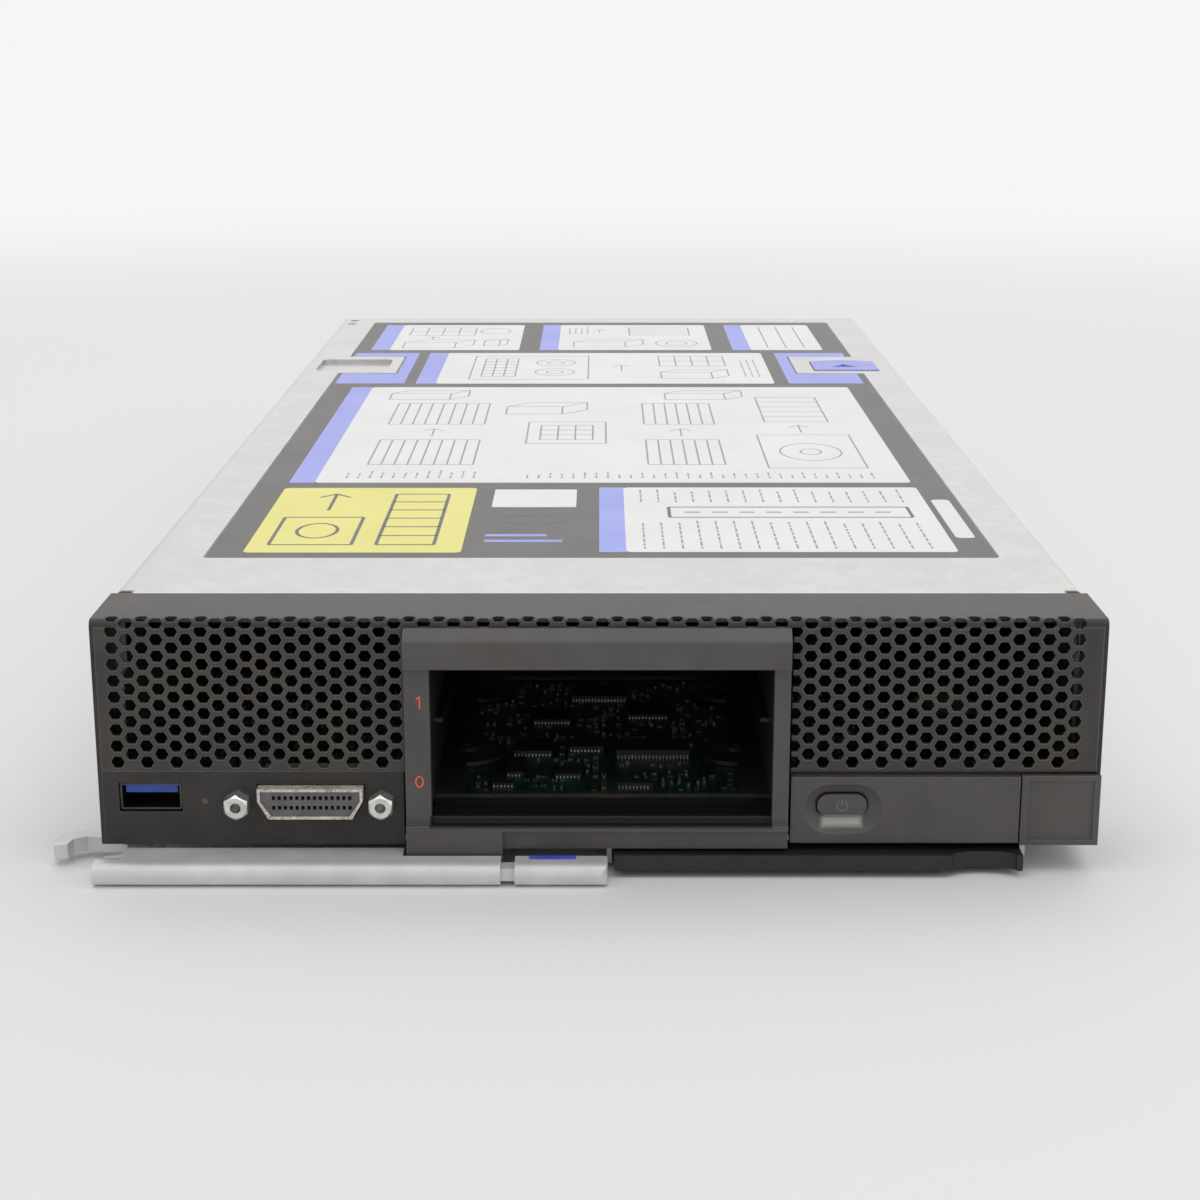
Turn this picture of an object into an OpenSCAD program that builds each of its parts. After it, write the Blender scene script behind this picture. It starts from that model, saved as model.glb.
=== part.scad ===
/* [Body] */
// Width across the bezel
body_w = 215.4; // [214.4:0.2:217]
// Depth from the bezel's face to the rear edge of the cover
body_d = 482; // [476:1:488]
// Height from the underside of the pan to the top of the cover
body_h = 50; // [49.6:0.2:51]
// Thickness of the pan's steel
pan_t = 1.2; // [1:0.1:1.4]
// Thickness of the cover's steel
cover_t = 1.0; // [0.8:0.1:1.2]
// Outer radius of the cover's bends
cover_r = 1.8; // [1.5:0.1:2.2]

/* [Bezel] */
// Depth of the bezel's band over the top and sides
band_d = 22.4; // [18:0.2:24]
// Thickness of the bezel's front and band
bezel_t = 0.9; // [0.8:0.1:1.4]
// Distance between two columns of hexagonal vents
hex_col = 3.15; // [3.1:0.05:3.3]
// Distance between two vents in one column
hex_row = 3.64; // [3.6:0.02:3.9]
// Corner radius of one vent
hex_r = 1.5; // [1.2:0.02:1.56]
// Outer radius of the bezel's bend along its top front edge
bend_r = 1.6; // [1.4:0.1:1.8]
// Height of the plain fascia below the vents
fascia_h = 16.6; // [16:0.1:16.8]

/* [Drive bay] */
// Left edge of the drive mouth
bay_x0 = -36; // [-37:0.5:-35]
// Right edge of the drive mouth
bay_x1 = 37.2; // [36.5:0.1:38]
// Bottom of the drive mouth
bay_z0 = 8.2; // [8:0.1:9]
// Top of the drive mouth
bay_z1 = 40.3; // [39.5:0.1:40.4]
// Depth of the drive cage
cage_d = 108; // [104:1:112]
// Thickness of the cage's steel
cage_t = 1.0; // [0.8:0.1:1.2]

/* [Handle and pull-out tab] */
// Height of the release handle's bar
handle_h = 5; // [4.5:0.1:5.2]
// How far the bar stands in front of the bezel
handle_reach = 10.6; // [10:0.1:12]
// Radius of the handle's pivot pin
pivot_r = 2.0; // [1.8:0.1:2.2]
// Radial clearance of every hinge pin
hinge_gap = 0.06; // [0.04:0.01:0.09]
// Width of the pull-out tab
tab_w = 88; // [80:1:88]
// Length of the pull-out tab
tab_l = 62; // [56:1:66]

/* [Rear casting] */
// Depth of the casting's bars, front to back
cast_d = 9; // [8:0.5:10]
// Top of the connector side of the casting
cast_bar_h = 18.5; // [18:0.1:19]
// Floor of the middle gap in the casting
cast_floor_h = 8.1; // [7.5:0.1:8.5]

/* [Boards and memory] */
// Height of the underside of the main board
board_z = 5.0; // [4.8:0.1:5.2]
// Thickness of the main board
board_t = 1.6; // [1.6:0.1:1.7]
// Distance between two memory sockets
dimm_pitch = 8.6; // [8.4:0.1:8.8]
// Length of one memory socket
dimm_l = 141; // [139:1:142]

/* [Hidden] */
$fn = 48;
eps = 0.01;
front_y = -body_d / 2;
rear_y = body_d / 2;
half_w = body_w / 2;
bezel_h = body_h + 0.3;
band_y = front_y + band_d;
bend_z = bezel_h - bend_r;
board_top = board_z + board_t;
board_lift = board_z - pan_t;
cast_y = rear_y - cast_d;
side_x = half_w - 0.2;
tray_x = side_x - 0.3;
lip_z = 34;
joggle_gap = 0.4;
inner_x = side_x - cover_t - joggle_gap;
wall_top = body_h - cover_t - 0.6;
cover_y = band_y + 0.3;
tab_z = -1;
tab_t = 3.5;
handle_top = -1;
front_lift = 0.6;
step_y = front_y + 76;
tab_back = 3.6;
cage_y = front_y + cage_d;
pivot = [-100, front_y + 6];

// A block between two corners
module block(a, b) { translate(a) cube(b - a); }

// A rectangle with round corners, from corner a to corner b
module round_rect(a, b, r) {
    translate([a.x + r, a.y]) square([b.x - a.x - 2 * r, b.y - a.y]);
    translate([a.x, a.y + r]) square([b.x - a.x, b.y - a.y - 2 * r]);
    for (x = [a.x + r, b.x - r], y = [a.y + r, b.y - r]) translate([x, y]) circle(r);
}

// An upright plate seen from the front, its outline in x and z, its face at y
module front_plate(y, t) { translate([0, y + t, 0]) rotate([90, 0, 0]) linear_extrude(t) children(); }

// An upright plate seen from behind: its outline's x runs to the viewer's right
module rear_plate(y, t) { translate([0, y, 0]) rotate([90, 0, 180]) linear_extrude(t) children(); }

// A flat plate with its outline in x and y
module flat_plate(z, t) { translate([0, 0, z]) linear_extrude(t) children(); }

// A cylinder that lies along y, from y to y + l
module rod_y(x, y, z, r, l) { translate([x, y, z]) rotate([-90, 0, 0]) cylinder(r = r, h = l); }

// A round coil spring along z: wire radius w, coil radius r, length l, n turns
module coil(r, w, l, n) {
    steps = n * 14;
    sides = 6;
    pts = [for (i = [0 : steps], j = [0 : sides - 1])
        let (a = 360 * i / 14, b = 360 * j / sides, q = r + w * cos(b))
        [q * cos(a), q * sin(a), w + (l - 2 * w) * i / steps + w * sin(b)]];
    walls = [for (i = [0 : steps - 1], j = [0 : sides - 1])
        [i * sides + j, (i + 1) * sides + j, (i + 1) * sides + (j + 1) % sides, i * sides + (j + 1) % sides]];
    ends = [[for (j = [0 : sides - 1]) j], [for (j = [sides - 1 : -1 : 0]) steps * sides + j]];
    polyhedron(pts, concat(walls, ends), convexity = 8);
}

// ---------------------------------------------------------------- pan and casting

// The pan: a flat floor, raised a little at the front over the tab's channel, and two side walls
module base_tray() color("#b9bbbd") {
    difference() {
        union() {
            translate([0, cast_y, 0]) rotate([90, 0, 0]) linear_extrude(cast_y - cover_y)
                for (s = [-1, 1]) scale([s, 1]) tray_wall_outline();
            translate([-half_w + bezel_t, 0, 0]) rotate([90, 0, 90]) linear_extrude(2 * (half_w - bezel_t))
                polygon([[front_y + bezel_t, front_lift], [step_y, front_lift], [step_y + 1, 0], [cast_y, 0],
                         [cast_y, pan_t], [step_y + 0.6, pan_t], [step_y - 0.4, pan_t + front_lift],
                         [front_y + bezel_t, pan_t + front_lift]]);
        }
        for (p = PAN_SCREWS) translate([p.x, p.y, -eps]) {
            cylinder(r = 1.6, h = pan_t + 1);
            cylinder(r1 = 2.4, r2 = 1.6, h = 0.8);
        }
    }
}

// One side wall in section: it steps inwards so that the cover's lip lies flush
module tray_wall_outline() {
    polygon([[tray_x - pan_t, 0], [tray_x, 0], [tray_x, lip_z - 1], [inner_x, lip_z - 0.2],
             [inner_x, wall_top], [inner_x - 1, wall_top], [inner_x - 1, lip_z - 1], [tray_x - pan_t, lip_z - 2]]);
}

// The casting in its parts, from behind: sills low between the columns, bars with a boss each, columns
module rear_casting() color("#cdc4a8") rear_plate(cast_y, cast_d) difference() {
    union() {
        translate([-94.5, 0]) square([25, 3.2]);
        translate([-24.2, 0]) square([75, cast_floor_h]);
        // fillets in the lower corners of the connector window
        for (c = [[-94.5, 1], [-69.5, -1]]) translate([c.x, 3.2 - eps]) scale([c.y, 1]) difference() {
            square(1.5);
            translate([1.5, 1.5]) circle(1.5);
        }
        // slope down from the left bar
        translate([-24.2, cast_floor_h - eps]) polygon([[0, 0], [3.4, 0], [0, 3.4]]);
    }
    casting_notches();
}

module casting_bars() color("#cdc4a8") difference() {
    union() {
        rear_plate(cast_y, cast_d) difference() {
            union() {
                soft_top([-69.5, 0], [-24.2, cast_bar_h], 2);
                translate([50.8, 0]) square([94.9 - 50.8, cast_bar_h]);
                soft_top([46.3, 16.9], [53.5, 25.8], 1);
            }
            casting_notches();
        }
        for (x = [-58.4, 60]) casting_boss(x);
    }
    guide_bore(-56.3, 12.6, 2.65, 3.7);
    guide_bore(57.6, 12.4, 3.05, 3.75);
    // shallow panels beside the guide bores
    rear_plate(rear_y - 0.3, 1) {
        round_rect([-48.6, 9.4], [-25.6, 16.4], 0.6);
        round_rect([62.6, 6.8], [93.4, 15.4], 0.6);
    }
}

// A rectangle from corner a to corner b with its two top corners rounded
module soft_top(a, b, r) {
    translate(a) square([b.x - a.x, b.y - a.y - r]);
    translate([a.x + r, a.y]) square([b.x - a.x - 2 * r, b.y - a.y]);
    for (x = [a.x + r, b.x - r]) translate([x, b.y - r]) circle(r);
}

// Notches in the foot, for the tongues of the midplane
module casting_notches() {
    translate([-36.6, -1]) square([16.8, 6]);
    translate([68.5, -1]) square([16.8, 6]);
}

// Both columns carry on behind the cover's tabs; the right one has the interlock's slot and window
module casting_columns() color("#cdc4a8") difference() {
    union() {
        rear_plate(cast_y, cast_d) {
            translate([-half_w, 0]) square([half_w - 94.5, 32.5]);
            translate([94.9, 0]) square([half_w - 94.9, 31.5]);
        }
        for (s = [-1, 1]) scale([s, 1, 1])
            block([94.9, cast_y, 31], [inner_x, cast_y + tab_back, 44.4]);
    }
    guide_bore(-100.5, 18, 3, 4.3);
    guide_bore(100.7, 18.2, 3.2, 4.2);
    for (x = [-100.5, 100.5]) rod_y(x, cast_y - 1, 39.3, 2.35, cast_d);
    rear_plate(rear_y - 0.4, 1) for (x = [-108, 94.9]) translate([x, 11.2]) square([13.1, 30]);
    rear_plate(cast_y - 1, cast_d + 2) {
        round_rect([99.35, 23.1], [103.05, 30.3], 1.8);
        round_rect([95.6, 2.3], [103.4, 6.7], 0.6);
    }
    for (p = RIVETS) rod_y(-p.x, rear_y - 2.6, p.y, 0.9, 4);
}

RIVETS = [[-106.1, 29.7, -0.4], [-105.9, 1.5, 0], [106.2, 29.2, -0.4], [105.9, 1.8, 0]];

module guide_bore(x, z, r, r_mouth) {
    rod_y(-x, cast_y - 1, z, r, cast_d + 2);
    translate([-x, rear_y - (r_mouth - r), z]) rotate([-90, 0, 0])
        cylinder(r1 = r, r2 = r_mouth + 0.4, h = r_mouth - r + 0.4);
}

// A stepped boss in front of the bar with an upright alignment pin, x from behind
module casting_boss(x) {
    translate([-x, cast_y, 0]) {
        block([-3.4, -5.5, 7.2], [3.4, 0.01, 19.6]);
        difference() {
            rotate([90, 0, 90]) translate([0, 0, -3.4]) linear_extrude(6.8)
                polygon([[-5.5, 19.5], [0, 19.5], [0, 21], [-0.5, 21.5], [-1.2, 21.9], [-1.2, 25.6], [-1.6, 26],
                         [-5.5, 26]]);
            translate([-1, 0.6, 23.9]) rotate([0, 90, 0]) translate([0, 0, -3]) cylinder(r = 2.6, h = 5.2);
        }
        translate([0, -3.4, 25.9]) cylinder(r = 1.3, h = 6.6);
        translate([0, -3.4, 32.5]) cylinder(r1 = 1.3, r2 = 0.9, h = 0.6);
    }
}

module casting_rivets() color("#b7b1a0")
    for (p = RIVETS) translate([-p.x, rear_y + p.z, p.y]) rotate([-90, 0, 0]) rotate_extrude()
            polygon([[0, -2.6 - p.z], [0.9, -2.6 - p.z], [0.9, 0], [1.3, 0], [1.3, 0.7], [0.9, 1.1], [0, 1.2]]);

PAN_SCREWS = [for (x = [-90, -30, 30, 90], y = [-150, -40, 70, 180]) [x, y]];

// Countersunk screws flush with the underside of the pan
module tray_screws() color("#9a9a98") for (p = PAN_SCREWS) translate([p.x, p.y, 0]) difference() {
    union() {
        cylinder(r = 1.6, h = pan_t);
        cylinder(r1 = 2.39, r2 = 1.6, h = 0.79);
    }
    translate([0, 0, -eps]) cylinder(r = 1, h = 0.5, $fn = 6);
}

// ---------------------------------------------------------------- main board

BOARD_HOLES = [for (x = [-48.4, 48.4], y = [-112, 20.5, 166]) [x, y]];

module mainboard() color("#1c3d2b") difference() {
    flat_plate(board_z, board_t) difference() {
        round_rect([-103.6, front_y + 9.2], [103.6, cast_y - 1.4], 1.5);
        for (p = BOARD_HOLES) translate(p) circle(1.6);
        for (x = [-58.4, 60]) translate([-x - 4.4, cast_y - 7.4]) square([8.8, 8]);
        translate([-104.6, cast_y - 7.4]) square([9.4, 8]);
    }
}

// Six stand-offs under the board and three spacers on it, for expansion cards
module board_standoffs() color("#c9c6bb") {
    for (p = BOARD_HOLES) translate([p.x, p.y, board_z - board_lift]) hex_standoff(board_lift, 3.2, 1.5, 0.8);
    for (p = [[-34, 222], [44, 218], [-60, 200]]) translate([p.x, p.y, board_top]) hex_standoff(6.5, 2.9, 1.4, 1);
}

module hex_standoff(h, r, r_hole, floor_h) difference() {
    cylinder(r = r, h = h, $fn = 6);
    translate([0, 0, floor_h]) cylinder(r = r_hole, h = h);
}

module board_screws() color("#a8a7a2") for (p = BOARD_HOLES) translate([p.x, p.y, pan_t + 0.8]) {
    cylinder(r = 1.5, h = board_top - pan_t - 0.8);
    translate([0, 0, board_top - pan_t - 0.8]) difference() {
        cylinder(r = 3, h = 1.6);
        translate([0, 0, 0.7]) cylinder(r = 1.3, h = 2, $fn = 6);
    }
}

CPU_Y = [-52, 92];

module processor_sockets() color("#2b2b2d") for (y = CPU_Y) translate([0, y, board_top]) difference() {
    block([-29, -26, 0], [29, 26, 3.2]);
    block([-24, -23, 1.6], [24, 23, 4]);
}

module processors() color("#b7b9ba") for (y = CPU_Y) translate([0, y, board_top + 1.6]) {
    block([-23.8, -22.8, 0], [23.8, 22.8, 1]);
    block([-19, -18, 1], [19, 18, 3.2]);
}

// Two finned coolers over the processors, their fins in line with the air flow
module heatsinks() color("#b9bcbf") for (y = CPU_Y) translate([0, y, board_top + 4.8]) {
    fin_n = 37;
    fin_step = 2.2;
    difference() {
        block([-42, -46, 0], [42, 46, 3.4]);
        for (x = [-37, 37], v = [-41, 41]) translate([x, v, -1]) cylinder(r = 2.2, h = 6);
    }
    translate([0, 46, 0]) rotate([90, 0, 0]) linear_extrude(92)
        for (i = [0 : fin_n - 1]) let (x = (i - (fin_n - 1) / 2) * fin_step)
            if (abs(x) < 33) translate([x - 0.2, 3.4 - eps]) square([0.4, 23]);
    for (z = [10, 20]) block([-33.2, -46, z], [33.2, -45.4, z + 0.5]);
}

module heatsink_screws() color("#8f8f8c") for (y = CPU_Y, x = [-37, 37], v = [-41, 41])
    translate([x, y + v, board_top]) {
        cylinder(r = 1.6, h = 9);
        translate([0, 0, 8.2]) difference() {
            cylinder(r = 3.4, h = 4);
            translate([0, 0, 2]) cylinder(r = 1.5, h = 3, $fn = 6);
        }
    }

DIMM_X = [for (s = [-1, 1], i = [0 : 5]) s * (55 + i * dimm_pitch)];

module memory_sockets() color("#26262a") for (y = CPU_Y, x = DIMM_X) translate([x, y, board_top]) {
    translate([0, dimm_l / 2 - 4, 0]) rotate([90, 0, 0]) linear_extrude(dimm_l - 8)
        polygon([[-3.1, 0], [3.1, 0], [3.1, 3], [2, 5.2], [0.8, 5.2], [0.8, 1.9], [-0.8, 1.9], [-0.8, 5.2],
                 [-2, 5.2], [-3.1, 3]]);
    for (s = [-1, 1]) translate([-3.1, s * (dimm_l / 2 - 2) - 2, 0]) cube([6.2, 4, 9]);
}

// Every third socket holds a module
module memory_modules() color("#2d5a3a") for (y = CPU_Y, x = [for (i = [0, 3, 6, 9]) DIMM_X[i]])
    translate([x, y, board_top + 2]) {
        block([-0.65, -66, 0], [0.65, 66, 30]);
        for (s = [-1, 1], i = [0 : 8]) let (v = -60 + i * 13.4)
            block([s > 0 ? 0.65 : -1.75, v, 10], [s > 0 ? 1.75 : -0.65, v + 9.6, 22]);
    }

module power_chokes() color("#5c5c60") for (y = [-112, 30, 32 + 142], i = [0 : 5])
    translate([-38 + i * 12.5, y == -112 ? -114 : y == 30 ? 14 : 158, board_top])
        block([0, 0, 0], [10, 8.4, 6.6]);

module capacitors() color("#a9abae") for (y = [-127, 145], i = [0 : 7])
    translate([-42 + i * 11, y, board_top]) {
        cylinder(r = 3.1, h = 6.6);
        block([-3.4, -3.4, 0], [3.4, 3.4, 0.8]);
    }

// Chips and small parts: on the open board under the drive bay and behind the rear gap
module board_chips() color("#1d1d1f") {
    for (c = [[-20, -202, 9, 9, 1.4], [4, -204, 17, 8, 2.2], [-7, -199, 8, 6, 1.4], [-21, -216, 4, 11, 1],
              [-16, -178, 9, 9, 1.2], [7, -174, 10, 10, 1.2], [-7, -160, 14, 8, 1.6],
              [-10, -217, 6, 4, 1], [4, -224, 8, 3, 1.2], [-24, -223, 5, 3, 0.9]])
        block([c[0], c[1], board_top], [c[0] + c[2], c[1] + c[3], board_top + c[4]]);
    for (c = [[-44, 204, 14, 14, 1.5], [-14, 214, 16, 5, 1.6], [30, 196, 18, 6, 4], [10, 208, 7, 7, 1],
              [-88, 196, 22, 20, 2], [32, 208, 6, 4, 3.4]])
        block([c[0], c[1], board_top], [c[0] + c[2], c[1] + c[3], board_top + c[4]]);
}

module chipset_heatsink() color("#33363a") translate([-6.2, 190, board_top]) {
    block([-12, -12, 0], [12, 12, 2.2]);
    translate([0, 12, 0]) rotate([90, 0, 0]) linear_extrude(24)
        for (i = [0 : 8]) translate([-10.9 + i * 2.6, 2.2 - eps]) square([1, 12.5]);
}

PUSH_PINS = [[-22.4, 206], [10.6, 174]];

module push_pins() color("#3a3a3c") for (p = PUSH_PINS) translate([p.x, p.y, board_top]) {
    cylinder(r = 1.1, h = 10);
    translate([0, 0, 10]) cylinder(r = 2.6, h = 1.4);
}

module push_pin_springs() color("#8d8d8a") for (p = PUSH_PINS) translate([p.x, p.y, board_top + 0.1])
    coil(1.9, 0.3, 9.8, 5);

module mezzanine_connectors() color("#3b3a38") for (x = [-62, 40], y = [176]) translate([x, y, board_top]) {
    difference() {
        block([-14, -4, 0], [14, 4, 7]);
        for (s = [-1, 1]) block([-12.5, s * 2 - 0.7, 2], [12.5, s * 2 + 0.7, 8]);
    }
}

module battery_holder() color("#222224") translate([84, -176, board_top]) difference() {
    cylinder(r = 11.4, h = 4.2);
    translate([0, 0, 0.8]) cylinder(r = 10.05, h = 5);
}

module coin_cell() color("#c4c6c8") translate([84, -176, board_top + 0.8]) cylinder(r = 10, h = 3.2);

// ---------------------------------------------------------------- bezel

VENT_X0 = -103.2;
VENT_COLS = 66;

// The vents of columns i0 to i1 in the flat face: the odd columns sit half a step higher
module vents(i0, i1, rows) for (i = [i0 : i1], k = [0 : rows])
    translate([VENT_X0 + i * hex_col, bezel_h - 2.5 - (k - (i % 2) / 2) * hex_row]) circle(hex_r, $fn = 6);

module grilles() color("#42413f") front_plate(front_y, bezel_t) difference() {
    for (x = [[-half_w + bezel_t, -41.7], [41.2, half_w - bezel_t]])
        translate([x[0], fascia_h]) square([x[1] - x[0], bend_z - fascia_h]);
    vents(0, 19, 8);
    vents(46, 65, 8);
}

// The band over the top and down both sides: the vents carry on round its bend
module bezel_band() color("#5a5855") {
    // steps along the sheet from the start of the bend to a vent's centre
    step_odd = bezel_h - 2.5 + hex_row / 2 - bend_z;
    step_even = bezel_h - 2.5 + hex_row - bend_z;
    tilt = step_odd / bend_r * 180 / PI;
    back = front_y + bend_r + step_even - bend_r * PI / 2;
    flat_plate(bezel_h - bezel_t, bezel_t) difference() {
        translate([-half_w + bezel_t, front_y + bend_r]) square([body_w - 2 * bezel_t, band_d - bend_r]);
        for (i = [0 : 2 : VENT_COLS - 1]) translate([VENT_X0 + i * hex_col, back]) circle(hex_r, $fn = 6);
    }
    difference() {
        translate([-half_w + bezel_t, 0, 0]) rotate([90, 0, 90]) linear_extrude(body_w - 2 * bezel_t) bend_section();
        for (i = [0 : VENT_COLS - 1]) translate([VENT_X0 + i * hex_col, front_y + bend_r, bend_z])
            if (i % 2 == 1) rotate([90 - tilt, 0, 0]) cylinder(r = hex_r, h = 3, $fn = 6);
            else translate([0, back - front_y - bend_r, -1]) cylinder(r = hex_r, h = 4, $fn = 6);
    }
    for (s = [-1, 1]) scale([s, 1, 1]) translate([half_w - bezel_t, 0, 0]) rotate([90, 0, 90])
        linear_extrude(bezel_t) {
            translate([front_y, 0]) square([band_d, bend_z]);
            translate([front_y + bend_r, 0]) square([band_d - bend_r, bezel_h]);
            translate([front_y + bend_r, bend_z]) circle(bend_r);
        }
}

// A quarter of a ring, in y and z
module bend_section() translate([front_y + bend_r, bend_z]) difference() {
    circle(bend_r);
    circle(bend_r - bezel_t);
    translate([0, -5]) square(10);
    translate([-5, -10]) square(10);
}

module fascia_left() color("#3e3d3b") front_plate(front_y, bezel_t) difference() {
    translate([-half_w + bezel_t, 0]) square([half_w - bezel_t - 42, fascia_h]);
    translate([-103.4, 7.4]) square([13.6, 6.6]);
    translate([-85, 9.7]) circle(0.75);
    for (x = [-77.8, -46.8]) translate([x, 9.6]) circle(1.85);
    kvm_outline(0.35);
}

module fascia_right() color("#3e3d3b") front_plate(front_y + 0.6, bezel_t - 0.6)
    difference() {
        translate([41.2, 0]) square([half_w - bezel_t - 41.2, fascia_h]);
        button_hole();
    }

// The frame round the drive mouth, proud of the grilles, with the block at its foot
module bay_frame() color("#454442") {
    proud = front_y - 3.6;
    translate([-41.4, 0, 0]) rotate([90, 0, 90]) linear_extrude(82)
        polygon([[front_y + bezel_t, bay_z1 + 0.1], [proud, bay_z1 + 0.1], [proud, 46.4], [proud + 0.3, 46.8],
                 [proud + 2.6, bend_z], [front_y + bezel_t, bend_z]]);
    block([-41.4, proud + 1.2, 5.4], [bay_x0, front_y + bezel_t, bay_z1 + 0.1]);
    block([bay_x1, proud + 1.2, 5.4], [40.6, front_y + bezel_t, bay_z1 + 0.1]);
    translate([-20.8, 0, 0]) rotate([90, 0, 90]) linear_extrude(61.4)
        polygon([[front_y + bezel_t, -0.2], [proud + 1.4, -0.2], [proud + 1.4, 3.7], [proud, 4.1], [proud, 5.4],
                 [front_y + bezel_t, 5.4]]);
    block([-41.4, proud, -3], [-20.8, front_y + bezel_t, 5.4]);
    block([bay_x0, proud + 2.6, 5.4], [bay_x1, front_y + 9.1, bay_z0 - 1.4]);
}

// The hole that the power button slides in, in outline
module button_hole() round_rect([46.6, 6.3], [58, 12.1], 2.8);

module operator_panel() color("#454442") difference() {
    front_plate(front_y - 1.4, 2) difference() {
        translate([41.2, 0.8]) square([49.2, 15]);
        button_hole();
    }
    button_dish();
}

// The dish round the button: its sides in section, as radius and depth, carried round a stadium
DISH = [[5.6, 0.02], [5.2, 0.3], [4.4, 0.75], [3.4, 1.1], [2.6, 1.2]];

module button_dish() translate([52.5, front_y - 1.4, 8.5]) {
    last = len(DISH) - 1;
    for (s = [-1, 1]) translate([s * 2.8, 0, 0]) rotate([-90, 0, 0]) rotate_extrude()
        polygon(concat([[0, -1], [DISH[0].x, -1]], DISH, [[0, DISH[last].y]]));
    translate([-2.8, 0, 0]) rotate([90, 0, 90]) linear_extrude(5.6)
        polygon(concat([[-1, DISH[0].x]], [for (d = DISH) [d.y, d.x]],
                       [for (k = [last : -1 : 0]) [DISH[k].y, -DISH[k].x]], [[-1, -DISH[0].x]]));
}

module power_button() color("#4a4947") {
    front_plate(front_y - 1.2, 2.6) round_rect([47, 6.7], [57.6, 11.7], 2.4);
    front_plate(front_y + 1.3, 1.2) round_rect([45.4, 5.2], [59.2, 13.2], 1);
}

module label_plate() color("#3b3a39") {
    face_y = front_y - 1.2;
    front_plate(face_y, 1.2) difference() {
        translate([90.8, 0.2]) square([half_w - 90.8, 15.8]);
        translate([92.2, 1.4]) square([14.2, 13.4]);
    }
    front_plate(face_y + 0.5, 1.3) translate([92.2, 1.4]) square([14.2, 13.4]);
}

module status_led() color("#d7d9c8") rod_y(-85, front_y + 0.3, 9.7, 0.75, 6);

// ---------------------------------------------------------------- front ports

module usb_shell() color("#c9ccd0") translate([-96.6, front_y + 0.2, 10.75]) {
    translate([0, 0.4, 0]) rotate([-90, 0, 0]) linear_extrude(14.6) difference() {
        round_rect([-6.6, -2.95], [6.6, 2.95], 0.5);
        round_rect([-6.2, -2.55], [6.2, 2.55], 0.3);
    }
    block([-6.2, 14.2, -2.55], [6.2, 15, 2.55]);
    for (x = [-6.6, 6.2]) block([x, 5, board_top - 10.75], [x + 0.4, 9, -2.4]);
    for (x = [-6.6, 6.2]) block([x, 11, board_top - 10.75], [x + 0.4, 15, -2.4]);
}

module usb_tongue() color("#2f55b8") translate([-96.6, front_y + 0.2, 10.75])
    block([-5.6, 1.6, 0.5], [5.6, 14.2, 2.3]);

// D-shaped outline of the console port, grown by g
module kvm_outline(g) translate([-62, 10]) polygon([[-11.3 - g, 3.4 + g], [11.3 + g, 3.4 + g], [11.3 + g, 0.6],
    [9 + g, -3.4 - g], [-9 - g, -3.4 - g], [-11.3 - g, 0.6]]);

module kvm_shell() color("#d2cdbd") {
    front_plate(front_y - 2.6, 9) difference() {
        kvm_outline(0);
        kvm_outline(-0.6);
    }
    block([-73.6, front_y + 6.4, board_top], [-50.4, front_y + 14, 13.6]);
}

module kvm_insert() color("#6f6f72") front_plate(front_y - 2.2, 8.6) difference() {
    kvm_outline(-0.6);
    for (i = [0 : 13], z = [9.1, 11.3]) translate([-70.2 + 1.26 * i + (z > 10 ? 0 : 0), z - 0.45])
        if (abs(-70.2 + 1.26 * i + 0.3 + 62) < (z > 10 ? 10 : 8.6)) square([0.7, 0.9]);
}

module kvm_standoffs() color("#cfd0cd") for (x = [-77.8, -46.8]) translate([x, front_y, 9.6]) difference() {
    union() {
        intersection() {
            rotate([90, 30, 0]) cylinder(r = 2.9, h = 4, $fn = 6);
            translate([0, -4, 0]) rotate([-90, 0, 0]) cylinder(r1 = 2.25, r2 = 7, h = 5);
        }
        rotate([-90, 0, 0]) cylinder(r = 1.8, h = 8);
    }
    translate([0, -4.5, 0]) rotate([-90, 0, 0]) cylinder(r = 1.15, h = 7.5);
}

// ---------------------------------------------------------------- drive bay

// An open steel cage: walls with runners, a roof, and a floor cut out over the board
module drive_cage() color("#1f1f20") {
    y0 = front_y + bezel_t + 0.05;
    for (x = [bay_x0 - cage_t - 0.4, bay_x1 + 0.4]) block([x, y0, bay_z0 - 1.4], [x + cage_t, cage_y, bay_z1 + 1]);
    block([bay_x0 - cage_t - 0.4, y0 + 6, bay_z1 + 1], [bay_x1 + cage_t + 0.4, cage_y, bay_z1 + 1 + cage_t]);
    flat_plate(bay_z0 - 1.4 + eps, cage_t) difference() {
        translate([bay_x0 - 0.4, front_y + 10.05]) square([bay_x1 - bay_x0 + 0.8, cage_d - 10.05]);
        difference() {
            round_rect([bay_x0 + 5.6, front_y + 12], [bay_x1 - 5.6, cage_y - 9], 2);
            for (p = CAGE_SCREWS) translate(p) circle(8.6);
        }
        for (p = CAGE_SCREWS) translate(p) circle(1.6);
    }
    // the lugs are dimpled up round their screws
    for (p = CAGE_SCREWS) translate([p.x, p.y, bay_z0 - 1.4 + cage_t - eps]) difference() {
        cylinder(r1 = 5.4, r2 = 3.7, h = lug_h);
        translate([0, 0, -1]) cylinder(r = 1.6, h = 4);
    }
    for (s = [0, 1], z = [bay_z0 + 14, bay_z1 - 0.2])
        block([s == 0 ? bay_x0 - 0.4 : bay_x1 - 1.4, y0 + 16, z], [s == 0 ? bay_x0 + 1.4 : bay_x1 + 0.4, cage_y - 4, z + 1]);
}

lug_h = 0.5;
CAGE_SCREWS = [for (x = [-30.5, 31.7], y = [front_y + 40, front_y + 88]) [x, y]];

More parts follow.
